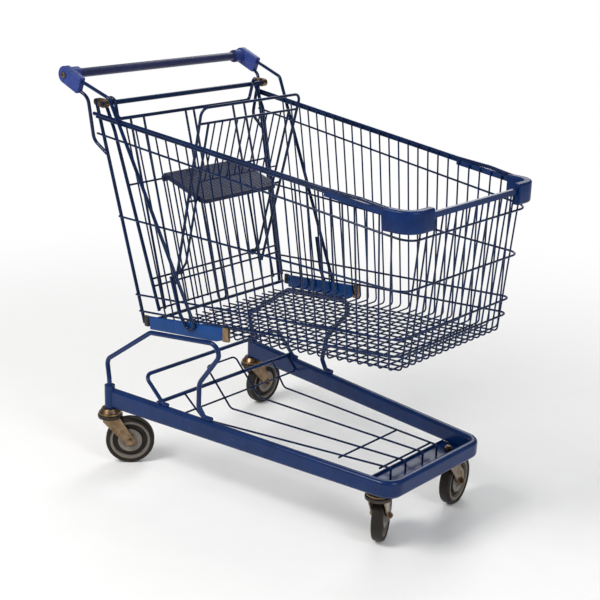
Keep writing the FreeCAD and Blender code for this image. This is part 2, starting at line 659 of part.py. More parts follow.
def handle(wires):
    tube = cylinder(HANDLE_D / 2, HANDLE_X, -CAP_IN - 10, HANDLE_Z, 0, 2 * (CAP_IN + 10), 0)
    slope = math.radians(CAP_DROP)
    front = (HANDLE_X + CAP_REACH * math.cos(slope), HANDLE_Z - CAP_REACH * math.sin(slope))
    body = cylinder(CAP_R, HANDLE_X, CAP_IN, HANDLE_Z, 0, CAP_OUT - CAP_IN, 0)
    across_x, across_z = CAP_R * math.sin(slope), CAP_R * math.cos(slope)
    corners = [Vector(HANDLE_X + across_x, CAP_IN, HANDLE_Z + across_z),
               Vector(front[0] + across_x, CAP_IN, front[1] + across_z),
               Vector(front[0] - across_x, CAP_IN, front[1] - across_z),
               Vector(HANDLE_X - across_x, CAP_IN, HANDLE_Z - across_z)]
    middle = Part.Face(Part.makePolygon(corners + corners[:1])).extrude(Vector(0, CAP_OUT - CAP_IN, 0))
    corner_edges = [e for e in middle.Edges if e.BoundBox.YLength > 1 and e.BoundBox.XMin > HANDLE_X + CAP_R]
    body = body.fuse(middle.makeFillet(CAP_EDGE_R, corner_edges)).removeSplitter()
    rims = [e for e in body.Edges if e.BoundBox.YLength < 0.01]
    body = body.makeFillet(CAP_EDGE_R - 1.0, rims)
    collar = cylinder(COLLAR_D / 2, HANDLE_X, HANDLE_BARE, HANDLE_Z, 0, CAP_IN - HANDLE_BARE + 1, 0)
    ring = [e for e in collar.Edges if abs(e.BoundBox.YMax - HANDLE_BARE) < 0.01]
    cap = body.fuse(collar.makeFillet(2.0, ring)).removeSplitter()
    caps, screws = [], []
    for piece in (cap, cap.mirror(Vector(0, 0, 0), Vector(0, 1, 0))):
        piece = piece.cut(tube)
        for wire in wires:
            piece = piece.cut(wire)
        caps.append(piece.Solids)
    for side in (1, -1):
        head = cylinder(SCREW_D / 2, HANDLE_X, side * (CAP_OUT - 0.5), HANDLE_Z, 0, side * SCREW_H, 0)
        outer = [e for e in head.Edges if abs(abs(e.BoundBox.Center.y) - CAP_OUT + 0.5 - SCREW_H) < 0.01]
        head = head.makeFillet(1.2, outer)
        socket = cylinder(3.0, HANDLE_X, side * (CAP_OUT + SCREW_H - 2.0), HANDLE_Z, 0, side * 4, 0)
        screws += head.cut(socket).Solids
    return [tube], caps, screws


# ---- hinge bar ----
def hinge(post_rods):
    half = side_y(HINGE_X, HINGE_Z, OUT_POST) + 6.0
    bar = wire_piece([(HINGE_X, -half, HINGE_Z), (HINGE_X, half, HINGE_Z)], HINGE_D)
    hooks = []
    for side in (1, -1):
        y = side * (side_y(HINGE_X, HINGE_Z, OUT_POST) + 4.0)
        run = -side * 14.0
        bar_r, post_r = HINGE_D / 2 + 4.0, HEAVY_D / 2 + 4.0
        px, pz = post_x(HINGE_Z + 2), HINGE_Z + 2
        hook = cylinder(bar_r, HINGE_X, y, HINGE_Z, 0, run, 0)
        hook = hook.fuse(cylinder(post_r, px, y, pz, 0, run, 0))
        corners = [Vector(HINGE_X, y, HINGE_Z + bar_r), Vector(px, y, pz + post_r),
                   Vector(px, y, pz - post_r), Vector(HINGE_X, y, HINGE_Z - bar_r)]
        web = Part.Face(Part.makePolygon(corners + corners[:1])).extrude(Vector(0, run, 0))
        hook = hook.fuse(web).removeSplitter().cut(bar)
        for post in post_rods:
            hook = hook.cut(post)
        hooks += hook.Solids
    return [bar], hooks


# ---- gate ----
def gate_point(y, z, ahead=0.0):
    """A point on the gate's plane at height z, moved ahead of the plane by a distance square to it."""
    x = GATE_X + GATE_LEAN * (POST_Z - z)
    return (x + ahead * math.cos(GATE_TILT), y, z + ahead * math.sin(GATE_TILT))


def gate_half(z):
    return along(z, GATE_FOOT, GATE_TOP, GATE_LOW_HALF, GATE_HIGH_HALF)


def gate_frame():
    """One heavy wire: up one edge, over the hinge bar, across the top, and down the other edge."""
    turn = HINGE_D / 2 + HEAVY_D / 2 + 1.7
    high = HINGE_Z + turn
    left, right = [[gate_point(GATE_LOW_HALF, GATE_FOOT),
                    gate_point(GATE_HIGH_HALF, GATE_TOP - 26.0),
                    (HINGE_X - turn - 1.0, GATE_HIGH_HALF, HINGE_Z - 9.0),
                    (HINGE_X - turn, GATE_HIGH_HALF - 3.0, high),
                    (HINGE_X + turn, over, high),
                    (HINGE_X + turn, end, GATE_TOP)] for end, over in GATE_TOP_ENDS]
    path = mirror(right) + left[::-1]
    return [wire_piece(path, HEAVY_D, [30, 14, turn, turn, 14, 14, turn, turn, 14, 30])]


def gate_bars():
    pieces = []
    foot = GATE_CROSS[3] - 6.0
    for y in GATE_BARS[1:]:
        for side in (1, -1):
            pieces.append(wire_piece([gate_point(side * y, foot, BARS_AHEAD),
                                      gate_point(side * y, GATE_TOP + 3.0, BARS_AHEAD)], GATE_BAR_D))
    y = GATE_BARS[0]
    half = [gate_point(y, GATE_TOP + 3.0, BARS_AHEAD), gate_point(y, 421.0, BARS_AHEAD)]
    pieces.append(wire_piece(across(half), GATE_BAR_D, [y - 1, y - 1]))
    return pieces


def gate_cross_wires():
    pieces = []
    for z in GATE_CROSS:
        half = gate_half(z) - HEAVY_D / 2 + WELD
        pieces.append(wire_piece([gate_point(-half, z, CROSS_AHEAD), gate_point(half, z, CROSS_AHEAD)],
                                 HOOP_D))
    return pieces


def gate_lower_wires():
    pieces = []
    ahead = CROSS_AHEAD - (HOOP_D + WIRE_D) / 2 + WELD
    for y in GATE_LOWER:
        for side in (1, -1):
            pieces.append(wire_piece([gate_point(side * y, GATE_CROSS[3] - 4.0, ahead),
                                      gate_point(side * y, SEAT_LEVEL + 1.0, ahead)], WIRE_D))
    return pieces


# ---- child seat ----
def stop_wire():
    return gate_point(0.0, GATE_CROSS[2], CROSS_AHEAD)


def back_point(y, z):
    """A point on the backrest's plane; its legs lean on the gate's lower double wire."""
    x0, _, z0 = stop_wire()
    return (x0 + HOOP_D / 2 + BACK_D / 2 + 0.4 + BACK_LEAN * (z - z0), y, z)


def back_half(z):
    return BACK_TOP_HALF - BACK_SPREAD * (BACK_TOP - z) / (BACK_TOP - GATE_CROSS[1])


def inner_half(z):
    return along(z, BACK_SECOND, GATE_CROSS[1], BACK_INNER[0], BACK_INNER[1])


def backrest():
    half = [back_point(back_half(BACK_TAIL), BACK_TAIL), back_point(BACK_TOP_HALF, BACK_TOP)]
    outer = [wire_piece(across(half), BACK_D, [20, 20])]
    # the inner legs turn back to eyes that swing on the gate's upper double wire
    pivot = gate_point(0.0, GATE_CROSS[1], CROSS_AHEAD)
    knee = GATE_CROSS[1] + 26.0
    legs = []
    bore_r = HOOP_D / 2 + PIN_CLEARANCE
    for side in (1, -1):
        y = side * inner_half(GATE_CROSS[1])
        path = [back_point(side * inner_half(BACK_SECOND), BACK_SECOND),
                back_point(side * inner_half(knee), knee), (pivot[0] + 4.0, y, pivot[2] + 2.0)]
        leg = wire_piece(path, BACK_D - 1.0, 14.0)
        eye = cylinder(EYE_R, pivot[0], y - EYE_W / 2, pivot[2], 0, EYE_W, 0)
        hole = cylinder(bore_r, pivot[0], y - EYE_W, pivot[2], 0, 2 * EYE_W, 0)
        legs += leg.fuse(eye).cut(hole).Solids
    wires = []
    for z, reach, size in ((BACK_SECOND, back_half(BACK_SECOND), BACK_D - 1.0),
                           (BACK_GRID_FOOT, inner_half(BACK_GRID_FOOT), WIRE_D)):
        wires.append(wire_piece([back_point(-reach, z), back_point(reach, z)], size))
    behind = (WIRE_D + WIRE_D) / 2 - WELD
    for i in range(BACK_COUNT):
        y = (i - (BACK_COUNT - 1) / 2) * 2 * BACK_INNER[0] / (BACK_COUNT + 1)
        low, high = back_point(y, BACK_GRID_FOOT - 3), back_point(y, BACK_SECOND)
        wires.append(wire_piece([(low[0] - behind, y, low[2]), (high[0] - behind, y, high[2])], WIRE_D))
    reach = back_half(SEAT_HINGE_Z)
    pin = [wire_piece([back_point(-reach, SEAT_HINGE_Z), back_point(reach, SEAT_HINGE_Z)], BACK_D - 1.0)]
    return outer, legs, wires, pin


def seat():
    """The seat plate, with its hinge barrel and the two lugs that rest on the gate's seat wire."""
    rest = gate_point(0.0, SEAT_LEVEL, CROSS_AHEAD)
    hinge_x, _, hinge_z = back_point(0.0, SEAT_HINGE_Z)
    bars_front = gate_point(0.0, SEAT_LEVEL, BARS_AHEAD + GATE_BAR_D / 2)[0]
    rear_x = bars_front + SEAT_GAP
    low_rear = rest[2] + HOOP_D / 2 + PIN_CLEARANCE * 6
    low_front = along(SEAT_FRONT_X, rear_x, hinge_x, low_rear, hinge_z - 1.0)
    outline = [(rear_x, SEAT_REAR_HALF), (SEAT_FRONT_X, SEAT_FRONT_HALF),
               (SEAT_FRONT_X, -SEAT_FRONT_HALF), (rear_x, -SEAT_REAR_HALF)]
    lows = [low_rear, low_front, low_front, low_rear]
    corners = [Vector(x, y, z) for (x, y), z in zip(outline, lows)]
    plate = Part.Face(Part.makePolygon(corners + corners[:1])).extrude(Vector(0, 0, SEAT_T))
    corner_edges = [e for e in plate.Edges
                    if abs(e.BoundBox.ZLength - SEAT_T) < 0.01 and e.BoundBox.XMin > rear_x + 1]
    plate = plate.makeFillet(12.0, corner_edges)
    pin_r = (BACK_D - 1.0) / 2
    barrel = cylinder(pin_r + 4.5, hinge_x, 6 - SEAT_REAR_HALF, hinge_z, 0, 2 * SEAT_REAR_HALF - 12, 0)
    plate = plate.fuse(barrel)
    for side in (1, -1):
        lug_y = side * (SEAT_REAR_HALF - 4.0)
        lug = cylinder(9.0, rest[0], lug_y - 4.0, rest[2], 0, 8.0, 0)
        arm = Part.makeBox(24.0, 8.0, 7.0, Vector(rest[0] - 3.0, lug_y - 4.0, low_rear - 1.0))
        plate = plate.fuse(lug).fuse(arm)
    bore = cylinder(pin_r + PIN_CLEARANCE, hinge_x, -SEAT_FRONT_HALF - 5, hinge_z, 0, 2 * SEAT_FRONT_HALF + 10, 0)
    plate = plate.cut(bore)
    # each lug is open downwards along the gate, so that it lifts off the wire
    slot_half = HOOP_D / 2 + 0.9
    down = Vector(math.sin(GATE_TILT), 0, -math.cos(GATE_TILT))
    slot = cylinder(slot_half, rest[0], -150, rest[2], 0, 300, 0)
    ahead = Vector(math.cos(GATE_TILT), 0, math.sin(GATE_TILT))
    at = Vector(rest[0], -150, rest[2])
    a, b = at - ahead * slot_half, at + ahead * slot_half
    mouth = Part.makePolygon([a, b, b + down * 14, a + down * 14, a])
    slot = slot.fuse(Part.Face(mouth).extrude(Vector(0, 300, 0)))
    return plate.cut(slot).removeSplitter().Solids


# ---- casters ----
def turned(profile):
    """A ring turned about the wheel's axle, from an outline of (radius, across) points."""
    corners = [Vector(r, w, 0) for r, w in profile]
    face = Part.Face(Part.makePolygon(corners + corners[:1]))
    ring = face.revolve(Vector(0, 0, 0), Vector(0, 1, 0), 360)
    return ring


def wheel():
    """The hub and the tyre, about the origin, with the axle along y."""
    r = WHEEL_D / 2
    rim_r = r - TYRE_DEPTH
    half, hub = WHEEL_W / 2, HUB_W / 2
    shoulder = 5.0
    tyre = turned([(rim_r, -half + 2), (r - shoulder, -half), (r - 1.2, -half + shoulder - 1), (r, -3),
                   (r, 3), (r - 1.2, half - shoulder + 1), (r - shoulder, half), (rim_r, half - 2)])
    bore = AXLE_D / 2 + PIN_CLEARANCE
    web, lip = WEB_T / 2, half - 3.0
    core = turned([(bore, -hub), (HUB_D / 2 - 4, -hub), (HUB_D / 2, -hub + 4), (HUB_D / 2 + 2, -web),
                   (rim_r - RIM_LIP - 2, -web), (rim_r - RIM_LIP, -lip), (rim_r, -lip), (rim_r, lip),
                   (rim_r - RIM_LIP, lip), (rim_r - RIM_LIP - 2, web), (HUB_D / 2 + 2, web),
                   (HUB_D / 2, hub - 4), (HUB_D / 2 - 4, hub), (bore, hub)])
    return core, tyre


def fork(top):
    """The turning fork under a fixed race whose mounting face is at height top."""
    ring_top = top - RACE_H - RACE_GAP
    ring_low = ring_top - FORK_RING_H
    inner = WHEEL_W / 2 + FORK_GAP
    ring = cylinder(FORK_RING_D / 2, 0, 0, ring_low, 0, 0, FORK_RING_H)
    rims = [e for e in ring.Edges if e.BoundBox.ZLength < 0.01 and e.BoundBox.ZMin > ring_top - 0.01]
    ring = ring.makeFillet(4.0, rims)
    crown_low = WHEEL_D / 2 + math.sqrt((WHEEL_D / 2) ** 2 - (TRAIL - FORK_TOP_FRONT) ** 2) + 3.0
    piece = ring.cut(cylinder(FORK_RING_D / 2 - 5, 0, 0, ring_low - 1, 0, 0, FORK_RING_H - 3))
    piece = piece.fuse(cylinder(KING_PIN_D / 2 + 6, 0, 0, ring_low + 2, 0, 0, FORK_RING_H - 2))
    for side in (1, -1):
        y = inner if side == 1 else -inner - FORK_SHEET
        tip_r = FORK_TIP_R
        axle_z = WHEEL_D / 2
        leg = [(-FORK_TOP_REAR, ring_low + 3), (FORK_TOP_FRONT, ring_low + 3),
               (FORK_TOP_FRONT + 2, crown_low), (TRAIL + tip_r * 0.86, axle_z + tip_r * 0.5),
               (TRAIL - tip_r * 0.8, axle_z - tip_r * 0.6), (-FORK_TOP_REAR + 3, crown_low - 10)]
        corners = [Vector(x, y, z) for x, z in leg]
        sheet = Part.Face(Part.makePolygon(corners + corners[:1])).extrude(Vector(0, FORK_SHEET, 0))
        sheet = sheet.fuse(cylinder(tip_r, TRAIL, y, axle_z, 0, FORK_SHEET, 0))
        piece = piece.fuse(sheet)
    bore = KING_PIN_D / 2 + PIN_CLEARANCE
    piece = piece.cut(cylinder(bore, 0, 0, ring_low - 5, 0, 0, FORK_RING_H + 10))
    hole = cylinder(AXLE_D / 2, TRAIL, -inner - 10, WHEEL_D / 2, 0, 2 * inner + 20, 0)
    return piece.cut(hole).removeSplitter()


def caster_head(top, stem_up, nut_at):
    """The fixed race, its king pin and its stem; a plate mounting has a nut above the plate."""
    race_low = top - RACE_H
    cone = Part.makeCone(RACE_D / 2, RACE_D / 2 - 6, RACE_H, Vector(0, 0, race_low))
    pin_low = race_low - RACE_GAP - FORK_RING_H + 4
    pin = cylinder(KING_PIN_D / 2, 0, 0, pin_low, 0, 0, race_low - pin_low + 1)
    stem = cylinder(KING_PIN_D / 2, 0, 0, top - 1, 0, 0, stem_up + 1)
    head = cone.fuse(pin).fuse(stem)
    if nut_at:
        corners = [Vector(NUT_D / 2 * math.cos(math.radians(a)), NUT_D / 2 * math.sin(math.radians(a)), nut_at)
                   for a in range(0, 360, 60)]
        nut = Part.Face(Part.makePolygon(corners + corners[:1])).extrude(Vector(0, 0, NUT_H))
        head = head.fuse(nut.common(Part.makeCone(NUT_D / 2, NUT_D / 2 - 2, NUT_H, Vector(0, 0, nut_at))))
    return head.removeSplitter()


def axle():
    """A hexagon bolt through the fork and the hub, with a nut."""
    inner = WHEEL_W / 2 + FORK_GAP + FORK_SHEET
    bolt = cylinder(AXLE_D / 2, 0, -inner - BOLT_HEAD_T - 2, 0, 0, 2 * inner + 2 * BOLT_HEAD_T + 4, 0)
    for side in (1, -1):
        corners = [Vector(BOLT_HEAD_D / 2 * math.cos(math.radians(a)), side * inner,
                          BOLT_HEAD_D / 2 * math.sin(math.radians(a))) for a in range(0, 360, 60)]
        face = Part.Face(Part.makePolygon(corners + corners[:1]))
        bolt = bolt.fuse(face.extrude(Vector(0, side * BOLT_HEAD_T, 0)))
    return bolt.removeSplitter()


def caster_place(name):
    end, side, yaw = CASTERS[name]
    if end == "front":
        return Vector(FRONT_STEM_X, side * FRONT_STEM_Y, 0), yaw, RAIL_FRONT_Z - PLATE_T + WELD
    return Vector(SOCKET_X, side * SOCKET_Y, 0), yaw, RAIL_REAR_Z


def caster(name):
    place, yaw, top = caster_place(name)
    front = CASTERS[name][0] == "front"
    stem_up = PLATE_T + NUT_H + 4 if front else RAIL_REAR_H - 12
    head = caster_head(top, stem_up, top + PLATE_T if front else None)
    core, tyre = wheel()
    bolt = axle()
    for piece in (core, tyre, bolt):
        piece.translate(Vector(TRAIL, 0, WHEEL_D / 2))
    legs = fork(top)
    for piece in (head, legs, core, tyre, bolt):
        piece.rotate(Vector(0, 0, 0), Vector(0, 0, 1), yaw)
        piece.translate(place)
    return {"head": head.Solids, "fork": legs.Solids, "axle": bolt.Solids,
            "hub": core.Solids, "tyre": tyre.Solids}


# ---- assembly ----
def cut_all(solids, tools):
    """Takes the tools out of each solid."""
    pieces = []
    for solid in solids:
        for tool in tools:
            if solid.BoundBox.intersect(tool.BoundBox):
                solid = solid.cut(tool)
        pieces += solid.Solids
    return pieces


def build():
    nodes = {}
    nodes["chassis_tube"], sockets, plate = chassis()
    for name in CASTERS:
        for part, solids in caster(name).items():
            nodes[f"caster_{name}_{part}"] = solids
    rear_heads = nodes["caster_rear_left_head"] + nodes["caster_rear_right_head"]
    front_heads = nodes["caster_front_left_head"] + nodes["caster_front_right_head"]
    nodes["caster_sockets"] = cut_all(sockets, rear_heads)
    nodes["front_plate"] = cut_all(plate, front_heads)
    nodes["arch_rods"] = arches()
    nodes["rack_bars"], nodes["rack_wires"] = rack()
    nodes["rear_posts"] = posts()
    nodes["rim_wires"], nodes["rim_lower_wires"] = rim()
    nodes["front_bar"] = front_bar()
    nodes["basket_hoops"] = hoops()
    nodes["side_wires_left"] = side_wires(1)
    nodes["side_wires_right"] = side_wires(-1)
    nodes["front_wires"], nodes["floor_long_wires"] = front_wires()
    held = nodes["front_wires"] + nodes["side_wires_left"] + nodes["side_wires_right"] + nodes["rim_wires"]
    nodes["corner_bumpers"] = cut_all(bumpers(nodes["front_bar"]), held)
    nodes["floor_cross_wires"] = floor_cross_wires()
    nodes["floor_rear_bar"] = floor_rear_bar()
    nodes["side_brackets"], nodes["bracket_clips"], nodes["rear_buffers"] = brackets()
    nodes["handle_wires"] = handle_wires()
    nodes["handle_braces"] = handle_braces()
    nodes["handle_tube"], caps, nodes["cap_screws"] = handle(nodes["handle_wires"] + nodes["handle_braces"])
    nodes["handle_cap_left"], nodes["handle_cap_right"] = caps
    nodes["hinge_bar"], nodes["hinge_hooks"] = hinge(nodes["rear_posts"])
    nodes["gate_frame"] = gate_frame()
    nodes["gate_bars"] = gate_bars()
    nodes["gate_cross_wires"] = gate_cross_wires()
    nodes["gate_lower_wires"] = gate_lower_wires()
    (nodes["backrest_frame"], nodes["backrest_legs"], nodes["backrest_wires"],
     nodes["seat_hinge_pin"]) = backrest()
    nodes["seat_plate"] = seat()
    return nodes


def main():
    nodes = build()
    whole = Part.makeCompound([Part.makeCompound(solids) for solids in nodes.values()])
    box = whole.optimalBoundingBox(False, False)
    shift = Vector(-box.Center.x, -box.Center.y, -box.ZMin)
    print("size", round(box.XLength, 1), round(box.YLength, 1), round(box.ZLength, 1))
    print("shift", round(shift.x, 3), round(shift.y, 3), round(shift.z, 3))
    os.makedirs("parts", exist_ok=True)
    for name, solids in nodes.items():
        shape = Part.makeCompound(solids)
        shape.translate(shift)
        shape.exportStep(f"parts/{name}.step")
    print(len(nodes), "nodes,", sum(len(s) for s in nodes.values()), "solids")


main()
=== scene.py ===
# %% [markdown]
# # A wire shopping trolley
# The CAD model already holds every wire, tube, hinge and wheel at its real size. This notebook opens it
# as a fixed frame and gives each surface a real finish. It then swaps the plainest solids for modelled
# ones that ride on the same moving bodies: the wheels, fork legs, end caps, corner bumpers, brackets and
# buffers. The seat keeps its solid and gets a new top.

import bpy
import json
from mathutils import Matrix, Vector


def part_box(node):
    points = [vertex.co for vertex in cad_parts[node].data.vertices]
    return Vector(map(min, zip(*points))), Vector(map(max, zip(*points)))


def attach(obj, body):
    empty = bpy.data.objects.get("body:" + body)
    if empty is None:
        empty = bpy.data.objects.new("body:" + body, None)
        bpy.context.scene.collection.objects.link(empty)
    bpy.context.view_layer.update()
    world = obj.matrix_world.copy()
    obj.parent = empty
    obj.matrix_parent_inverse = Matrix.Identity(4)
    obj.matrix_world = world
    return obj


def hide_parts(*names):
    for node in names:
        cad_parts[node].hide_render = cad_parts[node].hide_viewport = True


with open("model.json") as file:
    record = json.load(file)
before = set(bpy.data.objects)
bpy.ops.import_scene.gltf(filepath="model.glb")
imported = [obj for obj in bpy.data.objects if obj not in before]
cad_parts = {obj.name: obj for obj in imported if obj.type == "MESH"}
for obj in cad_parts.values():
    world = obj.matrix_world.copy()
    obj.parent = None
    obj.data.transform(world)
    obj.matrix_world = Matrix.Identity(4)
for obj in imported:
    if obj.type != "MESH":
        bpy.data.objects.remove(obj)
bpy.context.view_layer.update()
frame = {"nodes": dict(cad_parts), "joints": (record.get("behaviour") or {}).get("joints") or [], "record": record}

import json
import math

import bmesh
import bpy
from mathutils import Matrix, Vector

MM = 0.001
nodes = frame["nodes"]
joints = {joint["name"]: joint for joint in frame["joints"]}

# %% [markdown]
# ## Camera
# The camera stands in front of the trolley, to its right, a little above the handle. A long lens keeps
# the wires nearly parallel. Three plain angles turn it: azimuth, elevation and a small roll. A camera
# looks along its own -Z, so its matrix is built from the three directions that its axes point to.

# %% Camera
AZIMUTH, ELEVATION, ROLL = math.radians(41.26), math.radians(18.27), math.radians(1.70)
CAMERA_AT = Vector((1.92965, -2.21767, 1.44085))

back = Vector((math.sin(AZIMUTH) * math.cos(ELEVATION), -math.cos(AZIMUTH) * math.cos(ELEVATION),
               math.sin(ELEVATION)))
level_right = Vector((0, 0, 1)).cross(back).normalized()
level_up = back.cross(level_right)
right = level_right * math.cos(ROLL) + level_up * math.sin(ROLL)
up = level_up * math.cos(ROLL) - level_right * math.sin(ROLL)

camera_data = bpy.data.cameras.new("camera")
camera_data.lens = 75.25
camera_data.sensor_width = 36.0
camera_data.clip_end = 30.0
camera = bpy.data.objects.new("camera", camera_data)
bpy.context.scene.collection.objects.link(camera)
camera_turn = Matrix((right, up, back)).transposed().to_4x4()
camera.matrix_world = Matrix.Translation(CAMERA_AT) @ camera_turn
bpy.context.scene.camera = camera
bpy.context.scene.view_settings.view_transform = "Standard"
print("camera", round(CAMERA_AT.length, 2), "m from the origin, lens", camera_data.lens, "mm")

# %% [markdown]
# ## Lamps
# A round wire mirrors every lamp as a thin line along its length. Small lamps would make all the wires
# sparkle, so there are three big soft ones: a key light above the trolley's right side, a cool fill in
# front and a rim light on the far side.


# %% Lamps
def soft_lamp(name, place, target, size, power, tint=(1.0, 1.0, 1.0)):
    """A square area lamp that looks at the target."""
    data = bpy.data.lights.new(name, "AREA")
    data.shape = "SQUARE"
    data.size = size
    data.energy = power
    data.color = tint
    lamp = bpy.data.objects.new(name, data)
    lamp.location = place
    lamp.rotation_euler = (Vector(place) - Vector(target)).to_track_quat("Z", "Y").to_euler()
    bpy.context.scene.collection.objects.link(lamp)


middle = Vector((0.0, 0.0, 0.5))
soft_lamp("key", (-0.6, -2.6, 3.0), middle, 1.4, 92.0, (1.0, 0.985, 0.96))
soft_lamp("front_fill", (3.2, -0.6, 1.8), middle, 1.1, 32.0, (0.95, 0.975, 1.0))
soft_lamp("far_rim", (-1.4, 2.8, 2.6), middle, 1.8, 34.0)
print(len(bpy.data.lights), "lamps")

# %% [markdown]
# ## Sky
# A studio has pale walls that light the trolley evenly, and dark screens that keep deep paint from going
# milky. The sky does both. It is pale grey where it is seen directly, it lights surfaces at a bit over half
# of that, and glossy reflections see it dimmer still.

# %% Sky
SKY_SEEN, SKY_LIGHT, SKY_MIRRORED = 0.80, 0.45, 0.16

world = bpy.data.worlds.new("studio")
bpy.context.scene.world = world
world.use_nodes = True
sky = world.node_tree
sky.nodes.clear()
ray = sky.nodes.new("ShaderNodeLightPath")


def sky_of(strength):
    """A white sky of one strength."""
    background = sky.nodes.new("ShaderNodeBackground")
    background.inputs["Color"].default_value = (1.0, 1.0, 1.0, 1.0)
    background.inputs["Strength"].default_value = strength
    return background.outputs[0]


def sky_switch(kind, otherwise, when):
    """Shows one sky to rays of a kind and another to the rest."""
    switch = sky.nodes.new("ShaderNodeMixShader")
    sky.links.new(ray.outputs[kind], switch.inputs[0])
    sky.links.new(otherwise, switch.inputs[1])
    sky.links.new(when, switch.inputs[2])
    return switch.outputs[0]


dimmed = sky_switch("Is Glossy Ray", sky_of(SKY_LIGHT), sky_of(SKY_MIRRORED))
whole_sky = sky_switch("Is Camera Ray", dimmed, sky_of(SKY_SEEN))
sky.links.new(whole_sky, sky.nodes.new("ShaderNodeOutputWorld").inputs["Surface"])
print("sky", len(sky.nodes), "nodes")

# %% [markdown]
# ## Floor
# The floor is one big plane just under the tyres. It belongs to the studio and not to the trolley, so it
# is staged.

# %% Floor
bpy.ops.object.select_all(action="DESELECT")
bpy.ops.mesh.primitive_plane_add(size=40.0, location=(0, 0, -0.0005))
floor = bpy.context.object
floor.name = "studio_floor"
print("floor", floor.dimensions.x, "m wide")

# %% [markdown]
# ## Shared surface effects
# Three effects turn up in many finishes, so each is a node group with named inputs that is built once and
# placed in every material with its own values. All of them read object coordinates, so they stay put when
# the casters turn. The helpers below add one node each, because a long chain of nodes reads better as a
# few named steps.


# %% Node helpers
def new_group(name, inputs, outputs):
    """A node group with its sockets, as (label, kind, value) for inputs and (label, kind) for outputs."""
    group = bpy.data.node_groups.new(name, "ShaderNodeTree")
    for label, kind, value in inputs:
        socket = group.interface.new_socket(name=label, in_out="INPUT", socket_type=kind)
        if value is not None:
            socket.default_value = value
    for label, kind in outputs:
        group.interface.new_socket(name=label, in_out="OUTPUT", socket_type=kind)
    return group, group.nodes.new("NodeGroupInput"), group.nodes.new("NodeGroupOutput")


def math_node(tree, operation, a, b=None, clamp=False):
    """A Math node; a and b are sockets or plain numbers."""
    node = tree.nodes.new("ShaderNodeMath")
    node.operation = operation
    node.use_clamp = clamp
    for slot, value in zip(node.inputs, (a, b)):
        if value is None:
            continue
        if isinstance(value, (int, float)):
            slot.default_value = value
        else:
            tree.links.new(value, slot)
    return node.outputs[0]


def noise_node(tree, vector, scale, detail=3.0, rough=0.55):
    """Noise from 0 to 1; the scale is a socket or a plain number."""
    node = tree.nodes.new("ShaderNodeTexNoise")
    node.inputs["Detail"].default_value = detail
    node.inputs["Roughness"].default_value = rough
    tree.links.new(vector, node.inputs["Vector"])
    if isinstance(scale, (int, float)):
        node.inputs["Scale"].default_value = scale
    else:
        tree.links.new(scale, node.inputs["Scale"])
    return node.outputs["Fac"]


def ramp_node(tree, value, low, high):
    """Stretches value so that low becomes 0 and high becomes 1."""
    node = tree.nodes.new("ShaderNodeMapRange")
    node.interpolation_type = "SMOOTHSTEP"
    node.inputs["From Min"].default_value = low
    node.inputs["From Max"].default_value = high
    tree.links.new(value, node.inputs["Value"])
    return node.outputs["Result"]


# %% [markdown]
# ### Coat texture
# Powder coat dries with a faint orange peel, and moulded plastic keeps the grain of its mould. Both are
# tiny bumps, so one height is enough: a fine noise with a weaker, coarser one under it.

# %% Coat texture: a height
coat_texture, given, result = new_group(
    "coat_texture", [("Vector", "NodeSocketVector", None), ("Scale", "NodeSocketFloat", 900.0),
                     ("Coarse", "NodeSocketFloat", 0.35)], [("Height", "NodeSocketFloat")])
fine = noise_node(coat_texture, given.outputs["Vector"], given.outputs["Scale"], 2.0)
broad_scale = math_node(coat_texture, "MULTIPLY", given.outputs["Scale"], 0.22)
broad = noise_node(coat_texture, given.outputs["Vector"], broad_scale, 2.0)
weighed = math_node(coat_texture, "MULTIPLY", broad, given.outputs["Coarse"])
coat_texture.links.new(math_node(coat_texture, "ADD", fine, weighed), result.inputs["Height"])
print(coat_texture.name, len(coat_texture.nodes), "nodes")

# %% [markdown]
# ### Settled dust
# Dust lies on faces that look up and gathers in soft patches. The mask adds the upward part of the
# surface's direction to a slow noise.

# %% Settled dust: a mask
settled_dust, given, result = new_group(
    "settled_dust", [("Vector", "NodeSocketVector", None), ("Amount", "NodeSocketFloat", 0.3),
                     ("Patch", "NodeSocketFloat", 26.0)], [("Mask", "NodeSocketFloat")])
geometry = settled_dust.nodes.new("ShaderNodeNewGeometry")
parts = settled_dust.nodes.new("ShaderNodeSeparateXYZ")
settled_dust.links.new(geometry.outputs["Normal"], parts.inputs[0])
upward = ramp_node(settled_dust, parts.outputs["Z"], 0.1, 1.0)
cloud = noise_node(settled_dust, given.outputs["Vector"], given.outputs["Patch"], 5.0)
patches = ramp_node(settled_dust, cloud, 0.35, 0.75)
mottled = math_node(settled_dust, "ADD", math_node(settled_dust, "MULTIPLY", upward, 0.7),
                    math_node(settled_dust, "MULTIPLY", patches, 0.5))
both = math_node(settled_dust, "MULTIPLY", mottled, given.outputs["Amount"], clamp=True)
settled_dust.links.new(both, result.inputs["Mask"])
print(settled_dust.name, len(settled_dust.nodes), "nodes")

# %% [markdown]
# ### Hand wear
# A used trolley is rubbed in small spots and scratched in fine lines. The spots come from a rough noise
# with its peaks cut out. The scratches are the same idea on coordinates that are squeezed along one
# direction.

